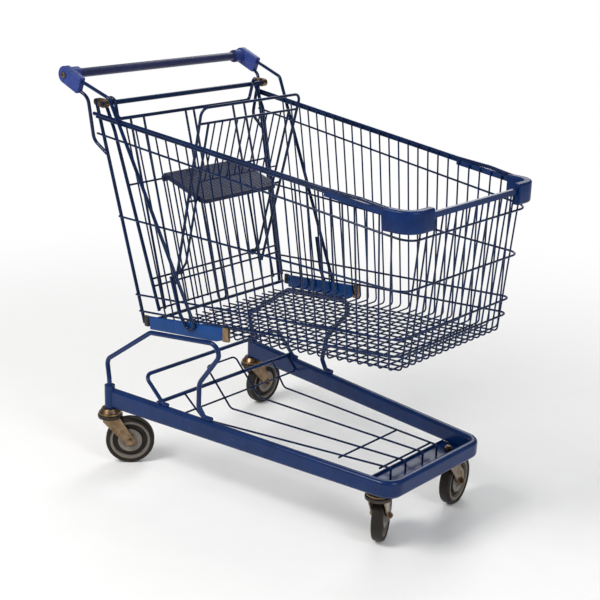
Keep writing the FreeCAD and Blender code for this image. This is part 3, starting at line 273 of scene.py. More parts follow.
# %% Hand wear: a mask
hand_wear, given, result = new_group(
    "hand_wear", [("Vector", "NodeSocketVector", None), ("Amount", "NodeSocketFloat", 0.5),
                  ("Spread", "NodeSocketFloat", 60.0)], [("Mask", "NodeSocketFloat")])
blotches = noise_node(hand_wear, given.outputs["Vector"], given.outputs["Spread"], 6.0, 0.7)
spots = ramp_node(hand_wear, blotches, 0.60, 0.74)
stretch = hand_wear.nodes.new("ShaderNodeMapping")
stretch.inputs["Scale"].default_value = (0.15, 1.0, 1.0)
stretch.inputs["Rotation"].default_value = (0.3, 0.5, 0.7)
hand_wear.links.new(given.outputs["Vector"], stretch.inputs["Vector"])
lines = ramp_node(hand_wear, noise_node(hand_wear, stretch.outputs[0], 900.0, 2.0), 0.66, 0.72)
worn = math_node(hand_wear, "MAXIMUM", spots, math_node(hand_wear, "MULTIPLY", lines, 0.6))
faded = math_node(hand_wear, "MULTIPLY", worn, given.outputs["Amount"], clamp=True)
hand_wear.links.new(faded, result.inputs["Mask"])
print(hand_wear.name, len(hand_wear.nodes), "nodes")

# %% [markdown]
# ## One recipe for every finish
# Paint, plastic, rubber and zinc differ in their values more than in their build. Each starts with a base
# colour that drifts between two close shades, then come rubbed patches, then dust. The same masks raise
# the roughness where the surface is rubbed or dusty, and the coat texture drives a Bump node. Numbers
# that are the same all over, such as the gloss, sit on the shader itself, where an exported model keeps
# them.


# %% The recipe
def finish(name, shade, drift, rubbed, dust_tint=(0.30, 0.29, 0.28), rough=(0.25, 0.45), metal=0.0,
           grain=900.0, bump=0.08, wear=0.3, dust=0.15, speck=14.0, gloss=0.5):
    """A material; rough is its clean and its worn roughness, speck the scale of its patches."""
    material = bpy.data.materials.new(name)
    material.use_nodes = True
    tree = material.node_tree
    shader = tree.nodes["Principled BSDF"]
    place = tree.nodes.new("ShaderNodeTexCoord").outputs["Object"]

    def use(group, **values):
        """Places a shared effect with this finish's own values."""
        node = tree.nodes.new("ShaderNodeGroup")
        node.node_tree = group
        tree.links.new(place, node.inputs["Vector"])
        for label, value in values.items():
            node.inputs[label].default_value = value
        return node.outputs[0]

    def mix(mask, below, above):
        """Lays one colour over another where the mask is 1."""
        node = tree.nodes.new("ShaderNodeMix")
        node.data_type = "RGBA"
        tree.links.new(mask, node.inputs["Factor"])
        for socket, value in ((node.inputs["A"], below), (node.inputs["B"], above)):
            if isinstance(value, tuple):
                socket.default_value = (*value, 1.0)
            else:
                tree.links.new(value, socket)
        return node.outputs["Result"]

    worn = use(hand_wear, Amount=wear, Spread=speck * 4.0)
    dusty = use(settled_dust, Amount=dust)
    clouds = ramp_node(tree, noise_node(tree, place, speck, 4.0), 0.3, 0.7)
    colour = mix(clouds, shade, drift)
    colour = mix(worn, colour, rubbed)
    colour = mix(dusty, colour, dust_tint)
    tree.links.new(colour, shader.inputs["Base Color"])
    rubbed_rough = math_node(tree, "MULTIPLY", worn, rough[1] - rough[0])
    duller = math_node(tree, "ADD", rubbed_rough, dusty, clamp=True)
    roughness = math_node(tree, "ADD", duller, rough[0], clamp=True)
    tree.links.new(roughness, shader.inputs["Roughness"])
    shader.inputs["Metallic"].default_value = metal
    shader.inputs["Specular IOR Level"].default_value = gloss
    relief = tree.nodes.new("ShaderNodeBump")
    relief.inputs["Strength"].default_value = bump
    relief.inputs["Distance"].default_value = 0.0004
    tree.links.new(use(coat_texture, Scale=grain), relief.inputs["Height"])
    tree.links.new(relief.outputs[0], shader.inputs["Normal"])
    return material


# %% [markdown]
# ## The trolley's finishes
# Each finish names a base shade, a slightly lighter one that it drifts to, and the shade of its rubbed
# patches, which is paler on most of them but darker on the brown zinc and the wheel cores. The frame is
# deep navy powder coat, the brackets under the basket are a brighter blue, and the handle and its end
# caps have faded towards violet. The zinc on the forks has tarnished to brown.

# %% Paints
finishes = {}
finishes["frame_paint"] = finish(
    "navy_powder_coat", (0.001, 0.016, 0.080), (0.002, 0.022, 0.106), (0.02, 0.06, 0.15),
    rough=(0.22, 0.48), bump=0.10, wear=0.3, dust=0.02, gloss=0.26)
finishes["bracket_paint"] = finish(
    "bright_blue_paint", (0.001, 0.036, 0.155), (0.002, 0.047, 0.200), (0.02, 0.09, 0.22),
    rough=(0.26, 0.5), bump=0.10, wear=0.35, dust=0.02, gloss=0.18)
finishes["handle_paint"] = finish(
    "handle_blue_paint", (0.013, 0.018, 0.070), (0.020, 0.026, 0.100), (0.07, 0.08, 0.15),
    rough=(0.30, 0.5), bump=0.08, wear=0.45, dust=0.04, speck=20.0, gloss=0.5)
# the navy powder coat again, darker, for the thin wires: painted shade
shaded_wire_paint = finish(
    "navy_wire_coat", (0.001, 0.009, 0.044), (0.002, 0.015, 0.066), (0.02, 0.05, 0.12),
    rough=(0.16, 0.42), bump=0.08, wear=0.3, dust=0.01, gloss=0.26)
print(len(finishes) + 1, "paints")

# %% Plastics
finishes["cap_plastic"] = finish(
    "cap_plastic", (0.022, 0.042, 0.190), (0.030, 0.054, 0.240), (0.09, 0.12, 0.28),
    rough=(0.36, 0.6), grain=1500.0, bump=0.16, wear=0.3, dust=0.03, speck=40.0, gloss=0.3)
finishes["bumper_plastic"] = finish(
    "bumper_plastic", (0.001, 0.015, 0.084), (0.001, 0.022, 0.112), (0.03, 0.08, 0.20),
    rough=(0.30, 0.55), grain=1300.0, bump=0.16, wear=0.35, dust=0.02, speck=30.0, gloss=0.2)
finishes["seat_plastic"] = finish(
    "seat_plastic", (0.008, 0.014, 0.050), (0.012, 0.020, 0.066), (0.05, 0.06, 0.10),
    rough=(0.42, 0.65), grain=1400.0, bump=0.22, wear=0.4, dust=0.06, speck=22.0, gloss=0.25)
finishes["buffer_plastic"] = finish(
    "black_plastic", (0.008, 0.008, 0.010), (0.014, 0.014, 0.016), (0.05, 0.05, 0.05),
    rough=(0.45, 0.65), grain=1200.0, bump=0.2, wear=0.4, dust=0.08, gloss=0.35)
finishes["hub_plastic"] = finish(
    "wheel_plastic", (0.150, 0.128, 0.106), (0.200, 0.175, 0.150), (0.07, 0.058, 0.046),
    rough=(0.42, 0.65), grain=1100.0, bump=0.14, wear=0.5, dust=0.15, speck=60.0, gloss=0.35)
print("plastics added,", len(finishes), "finishes so far")

# %% Rubber and metal
finishes["tyre"] = finish(
    "tyre_rubber", (0.009, 0.007, 0.005), (0.015, 0.011, 0.008), (0.045, 0.038, 0.032), (0.12, 0.09, 0.06),
    rough=(0.55, 0.8), grain=1600.0, bump=0.3, wear=0.5, dust=0.08, speck=45.0, gloss=0.3)
finishes["zinc"] = finish(
    "zinc_plate", (0.16, 0.098, 0.050), (0.30, 0.21, 0.13), (0.10, 0.052, 0.024), (0.24, 0.18, 0.12),
    rough=(0.26, 0.5), metal=1.0, grain=700.0, bump=0.10, wear=0.7, dust=0.20, speck=55.0)
# a dark finish for the sunk web of the wheel cores: painted shade in the recess, with dust and wear on it
recess_shade = finish(
    "wheel_grime", (0.014, 0.011, 0.009), (0.024, 0.020, 0.016), (0.05, 0.04, 0.03), (0.10, 0.08, 0.065),
    rough=(0.6, 0.8), wear=0.4, dust=0.12, speck=70.0, gloss=0.25)
blackened = finish(
    "blackened_zinc", (0.030, 0.024, 0.019), (0.055, 0.044, 0.034), (0.22, 0.18, 0.14),
    rough=(0.34, 0.5), metal=0.85, wear=0.5, dust=0.15, speck=60.0, bump=0.14)
print("all", len(bpy.data.materials), "materials")

# %% [markdown]
# ### Floor finish
# The lamps light a round patch of floor round the trolley, and the rest would turn grey. So the floor
# keeps its shadows near the wheels and turns to plain white further out, where the camera sees it.

# %% Floor finish
WHITE = (0.93, 0.93, 0.93)
FADE_FROM, FADE_TO = 0.7, 2.6

pale = finish("studio_floor", WHITE, (0.94, 0.94, 0.94), WHITE,
              rough=(0.7, 0.7), wear=0.0, dust=0.0, bump=0.0)
floor.data.materials.append(pale)
tree = pale.node_tree
away = tree.nodes.new("ShaderNodeVectorMath")
away.operation = "LENGTH"
tree.links.new(tree.nodes.new("ShaderNodeTexCoord").outputs["Object"], away.inputs[0])
beyond = ramp_node(tree, away.outputs["Value"], FADE_FROM, FADE_TO)
seen = tree.nodes.new("ShaderNodeLightPath").outputs["Is Camera Ray"]
glow = tree.nodes.new("ShaderNodeEmission")
cover = tree.nodes.new("ShaderNodeMixShader")
tree.links.new(math_node(tree, "MULTIPLY", beyond, seen), cover.inputs[0])
tree.links.new(tree.nodes["Principled BSDF"].outputs[0], cover.inputs[1])
tree.links.new(glow.outputs[0], cover.inputs[2])
tree.links.new(cover.outputs[0], tree.nodes["Material Output"].inputs["Surface"])
print("floor turns white", FADE_FROM, "to", FADE_TO, "m from the middle")

# %% [markdown]
# ## Paint the CAD pieces
# Every CAD piece names a finish slot. Thin wires get a darker copy of the frame paint, painted shade: the
# edges of a thin wire blend with the bright floor behind it, so the same paint would look paler on it.

# %% Paint the CAD pieces
HEAVY_PIECES = ("chassis_tube", "caster_sockets", "front_plate", "front_bar", "arch_rods", "rack_bars")

for part in frame["record"]["subparts"]:
    skin = finishes[part["material_slot"]]
    # thin wires take the darker copy of the paint: painted shade
    if part["material_slot"] == "frame_paint" and part["node"] not in HEAVY_PIECES:
        skin = shaded_wire_paint
    piece = nodes[part["node"]]
    if piece.data.materials:
        for index in range(len(piece.data.materials)):
            piece.data.materials[index] = skin
    else:
        piece.data.materials.append(skin)
print(len(nodes), "CAD pieces painted")

# %% [markdown]
# ## Modelling tools
# Every new piece starts as a box or a cylinder and is worked in edit mode. Faces are picked by where they
# are or which way they face, then inset, extruded, bevelled or bridged. A finished piece has its turn and
# place applied, so its own origin is the scene's origin. Sizes are in millimetres, measured as the
# trolley was designed: x runs forward, y to the left from the middle, z up from the floor, and the rear
# casters swivel at x = 13.

# %% Measuring from the trolley
REAR_SWIVEL_X = 13.0

chassis_low, chassis_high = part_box("chassis_tube")
rear_swivel_at = joints["swivel_rear_left"]["pos_m"][0]
ORIGIN = Vector((rear_swivel_at - REAR_SWIVEL_X * MM, (chassis_low.y + chassis_high.y) / 2, 0.0))


def at(x, y, z):
    """A place in millimetres as a place in the scene."""
    return Vector((x, y, z)) * MM + ORIGIN


print("measuring from", [round(value, 5) for value in ORIGIN])


# %% Starting shapes
def box_piece(name, low, high):
    """A box between two corners, left at the origin with its size in the mesh."""
    bpy.ops.object.select_all(action="DESELECT")
    bpy.ops.mesh.primitive_cube_add(size=1.0, location=[(a + b) / 2 * MM for a, b in zip(low, high)])
    piece = bpy.context.object
    piece.name = name
    piece.scale = [(b - a) * MM for a, b in zip(low, high)]
    bpy.ops.object.transform_apply(location=True, rotation=True, scale=True)
    return piece


def drum_piece(name, radius, low, high, count=64):
    """An upright cylinder from z = low to z = high."""
    bpy.ops.object.select_all(action="DESELECT")
    bpy.ops.mesh.primitive_cylinder_add(vertices=count, radius=radius * MM, depth=(high - low) * MM,
                                        location=(0, 0, (low + high) / 2 * MM))
    piece = bpy.context.object
    piece.name = name
    bpy.ops.object.transform_apply(location=True, rotation=True, scale=True)
    return piece


print("a box and a drum to start from")


# %% Picking and shaping in edit mode
def pick(piece, kind, test):
    """Picks the faces, edges or verts that pass a test on their place, in mm, and their direction."""
    bpy.ops.mesh.select_mode(type={"faces": "FACE", "edges": "EDGE", "verts": "VERT"}[kind])
    bpy.ops.mesh.select_all(action="DESELECT")
    mesh = bmesh.from_edit_mesh(piece.data)
    for item in getattr(mesh, kind):
        if kind == "faces":
            place, direction = item.calc_center_median(), item.normal
        elif kind == "edges":
            first, last = item.verts[0].co, item.verts[1].co
            place, direction = (first + last) / 2, (last - first).normalized()
        else:
            place, direction = item.co, item.normal
        if test(place / MM, direction):
            item.select_set(True)
    mesh.select_flush_mode()
    bmesh.update_edit_mesh(piece.data)


def edit(piece):
    """Opens one piece in edit mode."""
    bpy.ops.object.select_all(action="DESELECT")
    bpy.context.view_layer.objects.active = piece
    piece.select_set(True)
    bpy.ops.object.mode_set(mode="EDIT")


def done():
    """Leaves edit mode."""
    bpy.ops.object.mode_set(mode="OBJECT")


def slide(x, y, z):
    """Moves the picked part by a distance in millimetres."""
    bpy.ops.transform.translate(value=(x * MM, y * MM, z * MM))


def stretch_out(x, y, z):
    """Extrudes the picked faces by a distance in millimetres."""
    bpy.ops.mesh.extrude_region_move(TRANSFORM_OT_translate={"value": (x * MM, y * MM, z * MM)})


def bevel(width, segments):
    """Rounds the picked edges."""
    bpy.ops.mesh.bevel(offset=width * MM, segments=segments, affect="EDGES")


def inset(width, depth=0.0):
    """A border inside the picked faces; a depth above 0 raises what is inside it."""
    bpy.ops.mesh.inset(thickness=width * MM, depth=depth * MM)


def open_bore():
    """Deletes the picked faces and joins the two holes with a wall."""
    bpy.ops.mesh.delete(type="FACE")
    bpy.ops.mesh.select_mode(type="EDGE")
    bpy.ops.mesh.select_non_manifold()
    bpy.ops.mesh.bridge_edge_loops()


print("pick, slide, stretch out, bevel, inset and bore")


# %% Joining, placing and handing over
def join(name, pieces):
    """Makes several pieces one mesh."""
    bpy.ops.object.select_all(action="DESELECT")
    for piece in pieces:
        piece.select_set(True)
    bpy.context.view_layer.objects.active = pieces[0]
    bpy.ops.object.join()
    pieces[0].name = name
    return pieces[0]


def settle(piece, body, slot_name, skin, *cad, smooth=35.0):
    """Smooths and paints a finished piece and lets it ride on a body, in place of any CAD nodes named."""
    edit(piece)
    bpy.ops.mesh.select_all(action="SELECT")
    bpy.ops.mesh.normals_make_consistent(inside=False)
    done()
    bpy.ops.object.shade_smooth_by_angle(angle=math.radians(smooth))
    if skin is not None:
        piece.data.materials.clear()
        piece.data.materials.append(skin)
    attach(piece, body)
    if cad:
        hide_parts(*cad)


def swing_into_place(piece, turn, place):
    """Turns a piece about the origin, moves it and applies both."""
    bpy.ops.object.select_all(action="DESELECT")
    piece.select_set(True)
    bpy.context.view_layer.objects.active = piece
    piece.matrix_world = Matrix.Translation(place) @ turn.to_4x4() @ piece.matrix_world
    bpy.ops.object.transform_apply(location=True, rotation=True, scale=True)
    return piece


def other_side(piece, name):
    """A mirrored copy on the trolley's right; settle turns its normals outwards again."""
    bpy.ops.object.select_all(action="DESELECT")
    piece.select_set(True)
    bpy.context.view_layer.objects.active = piece
    bpy.ops.object.duplicate()
    copy = bpy.context.object
    copy.name = name
    mirror = Matrix.Diagonal((1, -1, 1, 1))
    copy.matrix_world = Matrix.Translation((0, 2 * ORIGIN.y, 0)) @ mirror @ copy.matrix_world
    bpy.ops.object.transform_apply(location=True, rotation=True, scale=True)
    return copy


print("join, settle, swing into place and mirror")

# %% [markdown]
# ## Casters
# The four casters are turned to different angles, and the front pair is 2.3 mm taller than the rear. In
# all else they are the same, so one set of functions makes them in the caster's own frame. There the
# swivel axis stands on the origin, the wheel trails along x and the axle runs along y.

# %% Caster sizes
WHEEL_R, TRAIL = 62.5, 50.0
TYRE_HALF, HUB_R, HUB_HALF = 14.0, 52.6, 11.0
LEG_IN, LEG_OUT = 17.0, 20.0
QUARTER_TURN = Matrix.Rotation(math.radians(90.0), 3, "X")


def lie_down(piece):
    """Lays an upright turned piece on its side, on the axle."""
    return swing_into_place(piece, QUARTER_TURN, Vector((TRAIL, 0, WHEEL_R)) * MM)


print("wheel", 2 * WHEEL_R, "mm, trail", TRAIL, "mm")

# %% [markdown]
# ### Tyre
# The tyre is a rubber band round the wheel's rim. A drum gets a round tread with a wide bevel on both
# edges. Then its two flat sides are inset into a shallow groove, and what is left in the middle becomes
# the bore.


# %% Tyre
def make_tyre():
    tyre = drum_piece("tyre", WHEEL_R, -TYRE_HALF, TYRE_HALF, count=96)
    edit(tyre)
    pick(tyre, "edges", lambda p, d: abs(d.z) < 0.5 and p.xy.length > WHEEL_R - 2)
    bevel(6.5, 6)
    pick(tyre, "faces", lambda p, n: abs(n.z) > 0.9 and p.xy.length < 1)
    inset(1.2, -0.5)
    inset(1.8)
    inset(0.8, -1.2)
    open_bore()
    done()
    return lie_down(tyre)


print("tyre", 2 * TYRE_HALF, "mm wide")

# %% [markdown]
# ### Wheel core
# The core is moulded plastic: a rim ring, a sunk web and a raised disc round the axle. The web takes a
# dark finish, painted shade in the recess. Insets work inwards on both sides at once, each with its own
# depth, and the faces just picked take the painted shade.


# %% Wheel core
def make_hub():
    hub = drum_piece("hub", HUB_R, -HUB_HALF, HUB_HALF, count=96)
    hub.data.materials.append(finishes["hub_plastic"])
    hub.data.materials.append(recess_shade)
    edit(hub)
    pick(hub, "faces", lambda p, n: abs(n.z) > 0.9)
    # the rim ring, with a small lip
    inset(0.8, 0.5)
    inset(6.0)
    # down to the sunk web, painted dark as shade, across it and up again
    inset(1.4, -7.2)
    # from here the web takes the dark finish: painted shade in the recess
    hub.active_material_index = 1
    bpy.ops.object.material_slot_assign()
    inset(11.4)
    inset(1.8, 6.6)
    # the raised disc, a little dished
    hub.active_material_index = 0
    bpy.ops.object.material_slot_assign()
    inset(0.8, 0.7)
    inset(11.5, -1.0)
    # a step down, and the boss that the axle runs through
    inset(0.8, -1.6)
    inset(6.0)
    inset(0.7, 1.2)
    inset(5.0)
    open_bore()
    done()
    return lie_down(hub)


print("wheel core", 2 * HUB_R, "mm across")

# %% [markdown]
# ### Fork legs
# Each leg is a pressed plate that narrows from the swivel ring down to a round end at the axle. A short
# bar under the ring and a disc on the axle are wrapped into one outline with a convex hull, which gives
# the straight tapering edges. An inset border sunk by 0.7 mm makes the pressing, and a washer sits on the
# axle.


# %% Fork leg
def make_leg(side, ring_low):
    """The leg on the wheel's left (side 1) or right (side -1)."""
    low_y, high_y = sorted((side * LEG_IN, side * LEG_OUT))
    top = box_piece("leg", (-18, low_y, ring_low - 8), (25, high_y, ring_low + 3))
    tip = drum_piece("tip", 13.0, -1.5, 1.5, count=48)
    swing_into_place(tip, QUARTER_TURN, Vector((TRAIL, (low_y + high_y) / 2, WHEEL_R)) * MM)
    leg = join("leg", [top, tip])
    edit(leg)
    bpy.ops.mesh.select_all(action="SELECT")
    bpy.ops.mesh.convex_hull()
    bpy.ops.mesh.select_all(action="SELECT")
    bpy.ops.mesh.dissolve_limited(angle_limit=math.radians(1.0))
    pick(leg, "faces", lambda p, n: n.y * side > 0.9)
    inset(3.2)
    inset(1.2, -0.7)
    pick(leg, "edges", lambda p, d: abs(abs(p.y) - LEG_OUT) < 0.05 and abs(d.y) < 0.1)
    bevel(0.7, 2)
    done()
    washer = drum_piece("washer", 9.0, -0.8, 0.8, count=40)
    swing_into_place(washer, QUARTER_TURN, Vector((TRAIL, side * (LEG_OUT - 0.1), WHEEL_R)) * MM)
    return join("leg", [leg, washer])


print("legs", 2 * LEG_OUT, "mm apart, outside")

# %% [markdown]
# ### Swivel rings
# Two rings carry the fork: a blackened cup that the legs hang from and a zinc race above it. Both are
# short drums with a rounded rim and a bore for the king pin.


# %% Swivel ring
KING_PIN_BORE_R = 6.3


def make_ring(name, radius, low, high, edge):
    ring = drum_piece(name, radius, low, high)
    edit(ring)
    pick(ring, "edges", lambda p, d: abs(d.z) < 0.5 and p.xy.length > radius - 2)
    bevel(edge, 3)
    pick(ring, "faces", lambda p, n: abs(n.z) > 0.9 and p.xy.length < 1)
    inset(radius - edge - KING_PIN_BORE_R)
    open_bore()
    done()
    return ring


RING_TOP = {"front": 144.3, "rear": 142.0}
print("rings end", RING_TOP["front"], "and", RING_TOP["rear"], "mm up")

# %% [markdown]
# ### Four casters
# The place and the turn of each caster come from the frame's joints, so a wheel cannot drift off its
# axle. The wheel rides on the wheel's body, and the legs, the cup and the race ride on the swivelling
# fork.

# %% Four casters
for corner in ("front_left", "front_right", "rear_left", "rear_right"):
    swivel, spin = joints[f"swivel_{corner}"], joints[f"spin_{corner}"]
    yaw = math.atan2(-spin["axis"][0], spin["axis"][1])
    place = Vector((swivel["pos_m"][0], swivel["pos_m"][1], 0.0))
    turn = Matrix.Rotation(yaw, 3, "Z")
    ring_top = RING_TOP[corner.split("_")[0]]
    ring_low = ring_top - 16.0
    tyre, hub = make_tyre(), make_hub()
    legs = join("legs", [make_leg(1, ring_low), make_leg(-1, ring_low)])
    cup = make_ring("cup", 32.0, ring_low, ring_low + 9.0, 1.6)
    race = make_ring("race", 29.5, ring_low + 8.8, ring_top, 2.6)
    for piece, body, slot_name, skin, cad in (
            (tyre, f"wheel_{corner}", "tyre", finishes["tyre"], (f"caster_{corner}_tyre",)),
            (hub, f"wheel_{corner}", "hub_plastic", None, (f"caster_{corner}_hub",)),
            (legs, f"caster_fork_{corner}", "zinc", finishes["zinc"], (f"caster_{corner}_fork",)),
            (cup, f"caster_fork_{corner}", "zinc", blackened, ()),
            (race, f"caster_fork_{corner}", "zinc", finishes["zinc"], ())):
        piece.name = f"{corner}_{piece.name.split('.')[0]}"
        swing_into_place(piece, turn, place)
        settle(piece, body, slot_name, skin, *cad)
    print(corner, "caster at", [round(v, 3) for v in place], "yaw", round(math.degrees(yaw), 1))

# %% [markdown]
# ## Handle end caps
# Each end of the handle sits in a moulded cap that slopes down to the basket's wires. The cap is a box
# whose rear end is rounded by a very wide bevel. Its outer face gets a border and a round seat for the
# screw, and a collar grips the tube on the inside. The cap is built level, with the tube's axis on y, and
# then tilted.

# %% Cap body
CAP_R, CAP_FRONT, CAP_IN, CAP_OUT = 20.5, 58.0, 292.0, 310.0
CAP_TILT = Matrix.Rotation(math.radians(21.5), 3, "Y")

cap = box_piece("left_end_cap", (-CAP_R, CAP_IN, -CAP_R), (CAP_FRONT, CAP_OUT, CAP_R))
edit(cap)
pick(cap, "edges", lambda p, d: abs(d.y) > 0.9 and p.x < 0)
bevel(20.0, 10)
pick(cap, "edges", lambda p, d: abs(d.y) > 0.9 and p.x > CAP_FRONT - 8)
bevel(4.0, 4)
pick(cap, "edges", lambda p, d: abs(d.y) < 0.1 and p.y > CAP_OUT - 5)
bevel(2.6, 4)
pick(cap, "edges", lambda p, d: abs(d.y) < 0.1 and p.y < CAP_IN + 3)
bevel(1.6, 2)
pick(cap, "faces", lambda p, n: n.y > 0.999 and p.y > CAP_OUT - 0.1)
inset(2.0)
inset(0.7, -0.9)
done()
print("cap body", len(cap.data.polygons), "faces")

# %% Collar and screw seat
COLLAR_R, COLLAR_HALF = 16.5, 14.5


def on_collar_end(p, d):
    """True for the rim of the collar's open end."""
    return abs(d.z) < 0.5 and p.z > COLLAR_HALF - 0.5 and p.xy.length > COLLAR_R - 0.5


collar = drum_piece("collar", COLLAR_R, -COLLAR_HALF, COLLAR_HALF, count=56)
edit(collar)
pick(collar, "faces", lambda p, n: n.z > 0.9)
inset(0.8)
inset(1.4)
pick(collar, "edges", on_collar_end)
bevel(2.5, 4)
done()
swing_into_place(collar, QUARTER_TURN, Vector((0, CAP_IN + 1.0 - COLLAR_HALF, 0)) * MM)

screw_seat = drum_piece("screw_seat", 10.0, -0.7, 0.7, count=48)
edit(screw_seat)
pick(screw_seat, "faces", lambda p, n: n.z < -0.9)
inset(1.2)
inset(0.6, -0.6)
done()
swing_into_place(screw_seat, QUARTER_TURN, Vector((0, CAP_OUT - 0.8, 0)) * MM)
print("collar", 2 * COLLAR_R, "mm across")

# %% Both caps
tube_low, tube_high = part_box("handle_tube")
tube_axis = (tube_low + tube_high) / 2

cap = join("left_end_cap", [cap, collar, screw_seat])
swing_into_place(cap, CAP_TILT, Vector((tube_axis.x, ORIGIN.y, tube_axis.z)))
settle(cap, "frame", "cap_plastic", finishes["cap_plastic"], "handle_cap_left")
cap_right = other_side(cap, "right_end_cap")
settle(cap_right, "frame", "cap_plastic", finishes["cap_plastic"], "handle_cap_right")
print("end cap starts", [round(v, 4) for v in cap.bound_box[0]])

# %% [markdown]
# ## Corner bumpers
# A plastic bumper wraps each front corner of the rim and takes the knocks. It is one cross-section taken
# round the corner: a rounded upright rectangle runs along the side, is spun round the corner and runs on
# along the front. Spinning picked faces keeps the section whole, which a bevelled L-shaped block would
# not.

# %% Bumper sizes
SIDE_TAPER = 0.06
BEND_R, BUMPER_THICK = 36.0, 20.0
CORNER_Y, SIDE_END_X, FRONT_END_Y = 225.4, 843.4, 160.0

bumper_low, bumper_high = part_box("corner_bumpers")
corner_x = (bumper_high.x - ORIGIN.x) / MM - BUMPER_THICK / 2
lean = math.atan(SIDE_TAPER)
along_side = Vector((math.cos(lean), -math.sin(lean), 0))
inward = Vector((-math.sin(lean), -math.cos(lean), 0))
tangent = BEND_R * math.tan((math.pi / 2 - lean) / 2)
bend_start = Vector((corner_x, CORNER_Y, 0)) - along_side * tangent
pivot = bend_start + inward * BEND_R
side_run = (bend_start.x - SIDE_END_X) / math.cos(lean)
print("bumper bends at", [round(value, 1) for value in bend_start], "and runs", round(side_run, 1), "mm")


# %% Corner bumpers
def beyond_side_end(p, n):
    """True for the cut end on the side wing."""
    return n.dot(along_side) < -0.98 and p.x - ORIGIN.x / MM < SIDE_END_X + 2.0


def beyond_front_end(p, n):
    """True for the cut end on the front wing."""
    return n.y < -0.98 and p.y - ORIGIN.y / MM < FRONT_END_Y + 1.0


bumper = box_piece("left_bumper", (-side_run, -BUMPER_THICK / 2, bumper_low.z / MM),
                   (0, BUMPER_THICK / 2, bumper_high.z / MM))
edit(bumper)
pick(bumper, "edges", lambda p, d: abs(d.x) > 0.9)
bevel(5.5, 5)
done()
bend_at = at(bend_start.x, bend_start.y, 0)
swing_into_place(bumper, Matrix.Rotation(-lean, 3, "Z"), bend_at)
edit(bumper)
pick(bumper, "faces", lambda p, n: n.dot(along_side) > 0.99 and (p - bend_at / MM).dot(along_side) > -0.5)
bpy.ops.mesh.spin(steps=14, angle=math.pi / 2 - lean, center=at(pivot.x, pivot.y, 0), axis=(0, 0, 1))
stretch_out(0, FRONT_END_Y + tangent - CORNER_Y, 0)
pick(bumper, "faces", lambda p, n: beyond_front_end(p, n) or beyond_side_end(p, n))
inset(2.0, 1.2)
inset(3.0)
inset(0.8, -1.5)
done()
settle(bumper, "frame", "bumper_plastic", finishes["bumper_plastic"], "corner_bumpers", smooth=40.0)
right_bumper = other_side(bumper, "right_bumper")
settle(right_bumper, "frame", "bumper_plastic", finishes["bumper_plastic"], smooth=40.0)
print("bumper ends", [round(max(vert.co[axis] for vert in bumper.data.vertices), 4) for axis in range(3)])
print("CAD bumper ends", [round(value, 4) for value in bumper_high])

# %% [markdown]
# ## Seat top
# The child seat is a moulded plate. Its top is a shallow tray with a raised border, filled with narrow
# ribs that run from back to front and tied by two cross ribs. It is built flat, with the plate's lower
# rear edge on the origin, and then tilted. The border stands only 1.4 mm above the plate, because the
# backrest's wires fold close to it.

# %% Seat tray
SEAT_AT, SEAT_TILT = (74.97, 747.35), Matrix.Rotation(math.atan(0.2993), 3, "Y")
TRAY_BACK, TRAY_FRONT, TRAY_HALF = 0.6, 147.6, 129.4
TRAY_LOW, TRAY_TOP = 9.65, 11.0


def on_tray_border(p, d):
    """True for the top edges round the tray's outside."""
    outside = abs(p.y) > TRAY_HALF - 0.2 or p.x < TRAY_BACK + 0.2 or p.x > TRAY_FRONT - 0.2
    return abs(d.z) < 0.1 and p.z > TRAY_TOP - 0.1 and outside


tray = box_piece("seat_top", (TRAY_BACK, -TRAY_HALF, TRAY_LOW), (TRAY_FRONT, TRAY_HALF, TRAY_TOP))
edit(tray)
pick(tray, "edges", lambda p, d: abs(d.z) > 0.9 and p.x > TRAY_FRONT - 7)
bevel(11.5, 6)
pick(tray, "faces", lambda p, n: n.z > 0.9)
inset(0.9)
inset(4.2)
inset(0.7, -0.9)
pick(tray, "edges", on_tray_border)
bevel(0.8, 2)
done()
print("tray", TRAY_FRONT - TRAY_BACK, "by", 2 * TRAY_HALF, "mm")

# %% Ribs
RIB_COUNT, RIB_PITCH, RIB_HALF, RIB_LOW = 21, 12.0, 3.3, 9.9
RIB_BACK, RIB_FRONT = 6.0, 142.0
RIB_TOP, CROSS_RIB_TOP = 10.8, 10.65
CROSS_RIBS_X, CROSS_RIB_HALF, CROSS_RIB_REACH = (50.0, 98.0), 2.5, 124.0

ribs = []
for count in range(RIB_COUNT):
    y = (count - RIB_COUNT // 2) * RIB_PITCH
    ribs.append(box_piece("rib", (RIB_BACK, y - RIB_HALF, RIB_LOW), (RIB_FRONT, y + RIB_HALF, RIB_TOP)))
for x in CROSS_RIBS_X:
    ribs.append(box_piece("cross_rib", (x - CROSS_RIB_HALF, -CROSS_RIB_REACH, RIB_LOW),
                          (x + CROSS_RIB_HALF, CROSS_RIB_REACH, CROSS_RIB_TOP)))
grid = join("seat_ribs", ribs)
edit(grid)
pick(grid, "edges", lambda p, d: p.z > CROSS_RIB_TOP - 0.05 and abs(d.z) < 0.1)
bevel(0.3, 2)
done()
print(len(ribs), "ribs")

# %% Seat top
tray = join("seat_top", [tray, grid])
swing_into_place(tray, SEAT_TILT, at(SEAT_AT[0], 0, SEAT_AT[1]))
settle(tray, "seat", "seat_plastic", finishes["seat_plastic"])
print("seat top", len(tray.data.polygons), "faces")

# %% [markdown]
# ## Side brackets
# Two pressed plates under the basket carry it on the arch rods, and they follow the slope of its floor. A
# box is stretched to that slope by sliding its end corners, one more length is extruded at the front, and
# the outer edges get a soft pressed radius.

# %% Side brackets
BRACKET_TURN = Matrix.Rotation(-lean, 3, "Z")
BRACKET_AT = at(155.0, 249.0, 0)
BEND_X, BRACKET_FACE_Y, BRACKET_MIDDLE_Z = 220.4, 6.6, 416.0
BACK_X, BACK_LEAN, RISE_ABOVE, RISE_BELOW = 4.0, 4.0, 26.4, 22.0
NOSE_LENGTH, NOSE_RISE_ABOVE, NOSE_RISE_BELOW = 22.0, 2.6, 8.0


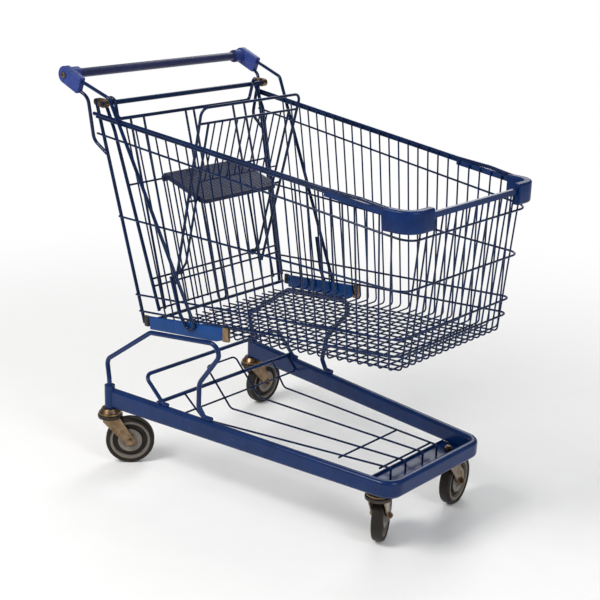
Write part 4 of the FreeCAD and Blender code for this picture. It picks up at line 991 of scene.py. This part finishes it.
def on_bracket_face(p, d):
    """True for the outline of the outer face, without the upright line at the bend."""
    at_bend = abs(d.z) > 0.9 and abs(p.x - BEND_X) < 10
    return abs(p.y - BRACKET_FACE_Y) < 0.1 and abs(d.y) < 0.1 and not at_bend


bracket = box_piece("left_bracket", (BACK_X, 0.0, 400.0), (BEND_X, BRACKET_FACE_Y, 432.0))
edit(bracket)
pick(bracket, "verts", lambda p, n: p.x > BEND_X - 20 and p.z > BRACKET_MIDDLE_Z)
slide(0, 0, RISE_ABOVE)
pick(bracket, "verts", lambda p, n: p.x > BEND_X - 20 and p.z < BRACKET_MIDDLE_Z)
slide(0, 0, RISE_BELOW)
pick(bracket, "verts", lambda p, n: p.x < 10 and p.z > BRACKET_MIDDLE_Z)
slide(-BACK_LEAN, 0, 0)
pick(bracket, "faces", lambda p, n: n.x > 0.9)
stretch_out(NOSE_LENGTH, 0, NOSE_RISE_ABOVE)
pick(bracket, "verts", lambda p, n: p.x > BEND_X + 20 and p.z < 440)
slide(0, 0, NOSE_RISE_BELOW - NOSE_RISE_ABOVE)
pick(bracket, "edges", on_bracket_face)
bevel(2.2, 4)
done()
swing_into_place(bracket, BRACKET_TURN, BRACKET_AT)
settle(bracket, "frame", "bracket_paint", finishes["bracket_paint"], "side_brackets")
right_bracket = other_side(bracket, "right_bracket")
settle(right_bracket, "frame", "bracket_paint", finishes["bracket_paint"])
print("bracket ends", [round(max(vert.co[axis] for vert in bracket.data.vertices), 4) for axis in range(3)])

# %% [markdown]
# ## Rear buffers
# A black plastic block closes the rear end of each bracket, where the next trolley's basket runs in. It
# is a box with every edge rounded.

# %% Rear buffers
BUFFER_LOW, BUFFER_HIGH = (-13.5, 0.0, 405.8), (-0.1, 8.6, 432.6)

buffer = box_piece("left_buffer", BUFFER_LOW, BUFFER_HIGH)
edit(buffer)
bpy.ops.mesh.select_all(action="SELECT")
bevel(1.8, 3)
done()
swing_into_place(buffer, BRACKET_TURN, BRACKET_AT)
settle(buffer, "frame", "buffer_plastic", finishes["buffer_plastic"], "rear_buffers")
right_buffer = other_side(buffer, "right_buffer")
settle(right_buffer, "frame", "buffer_plastic", finishes["buffer_plastic"])
print("buffer", len(buffer.data.polygons), "faces")
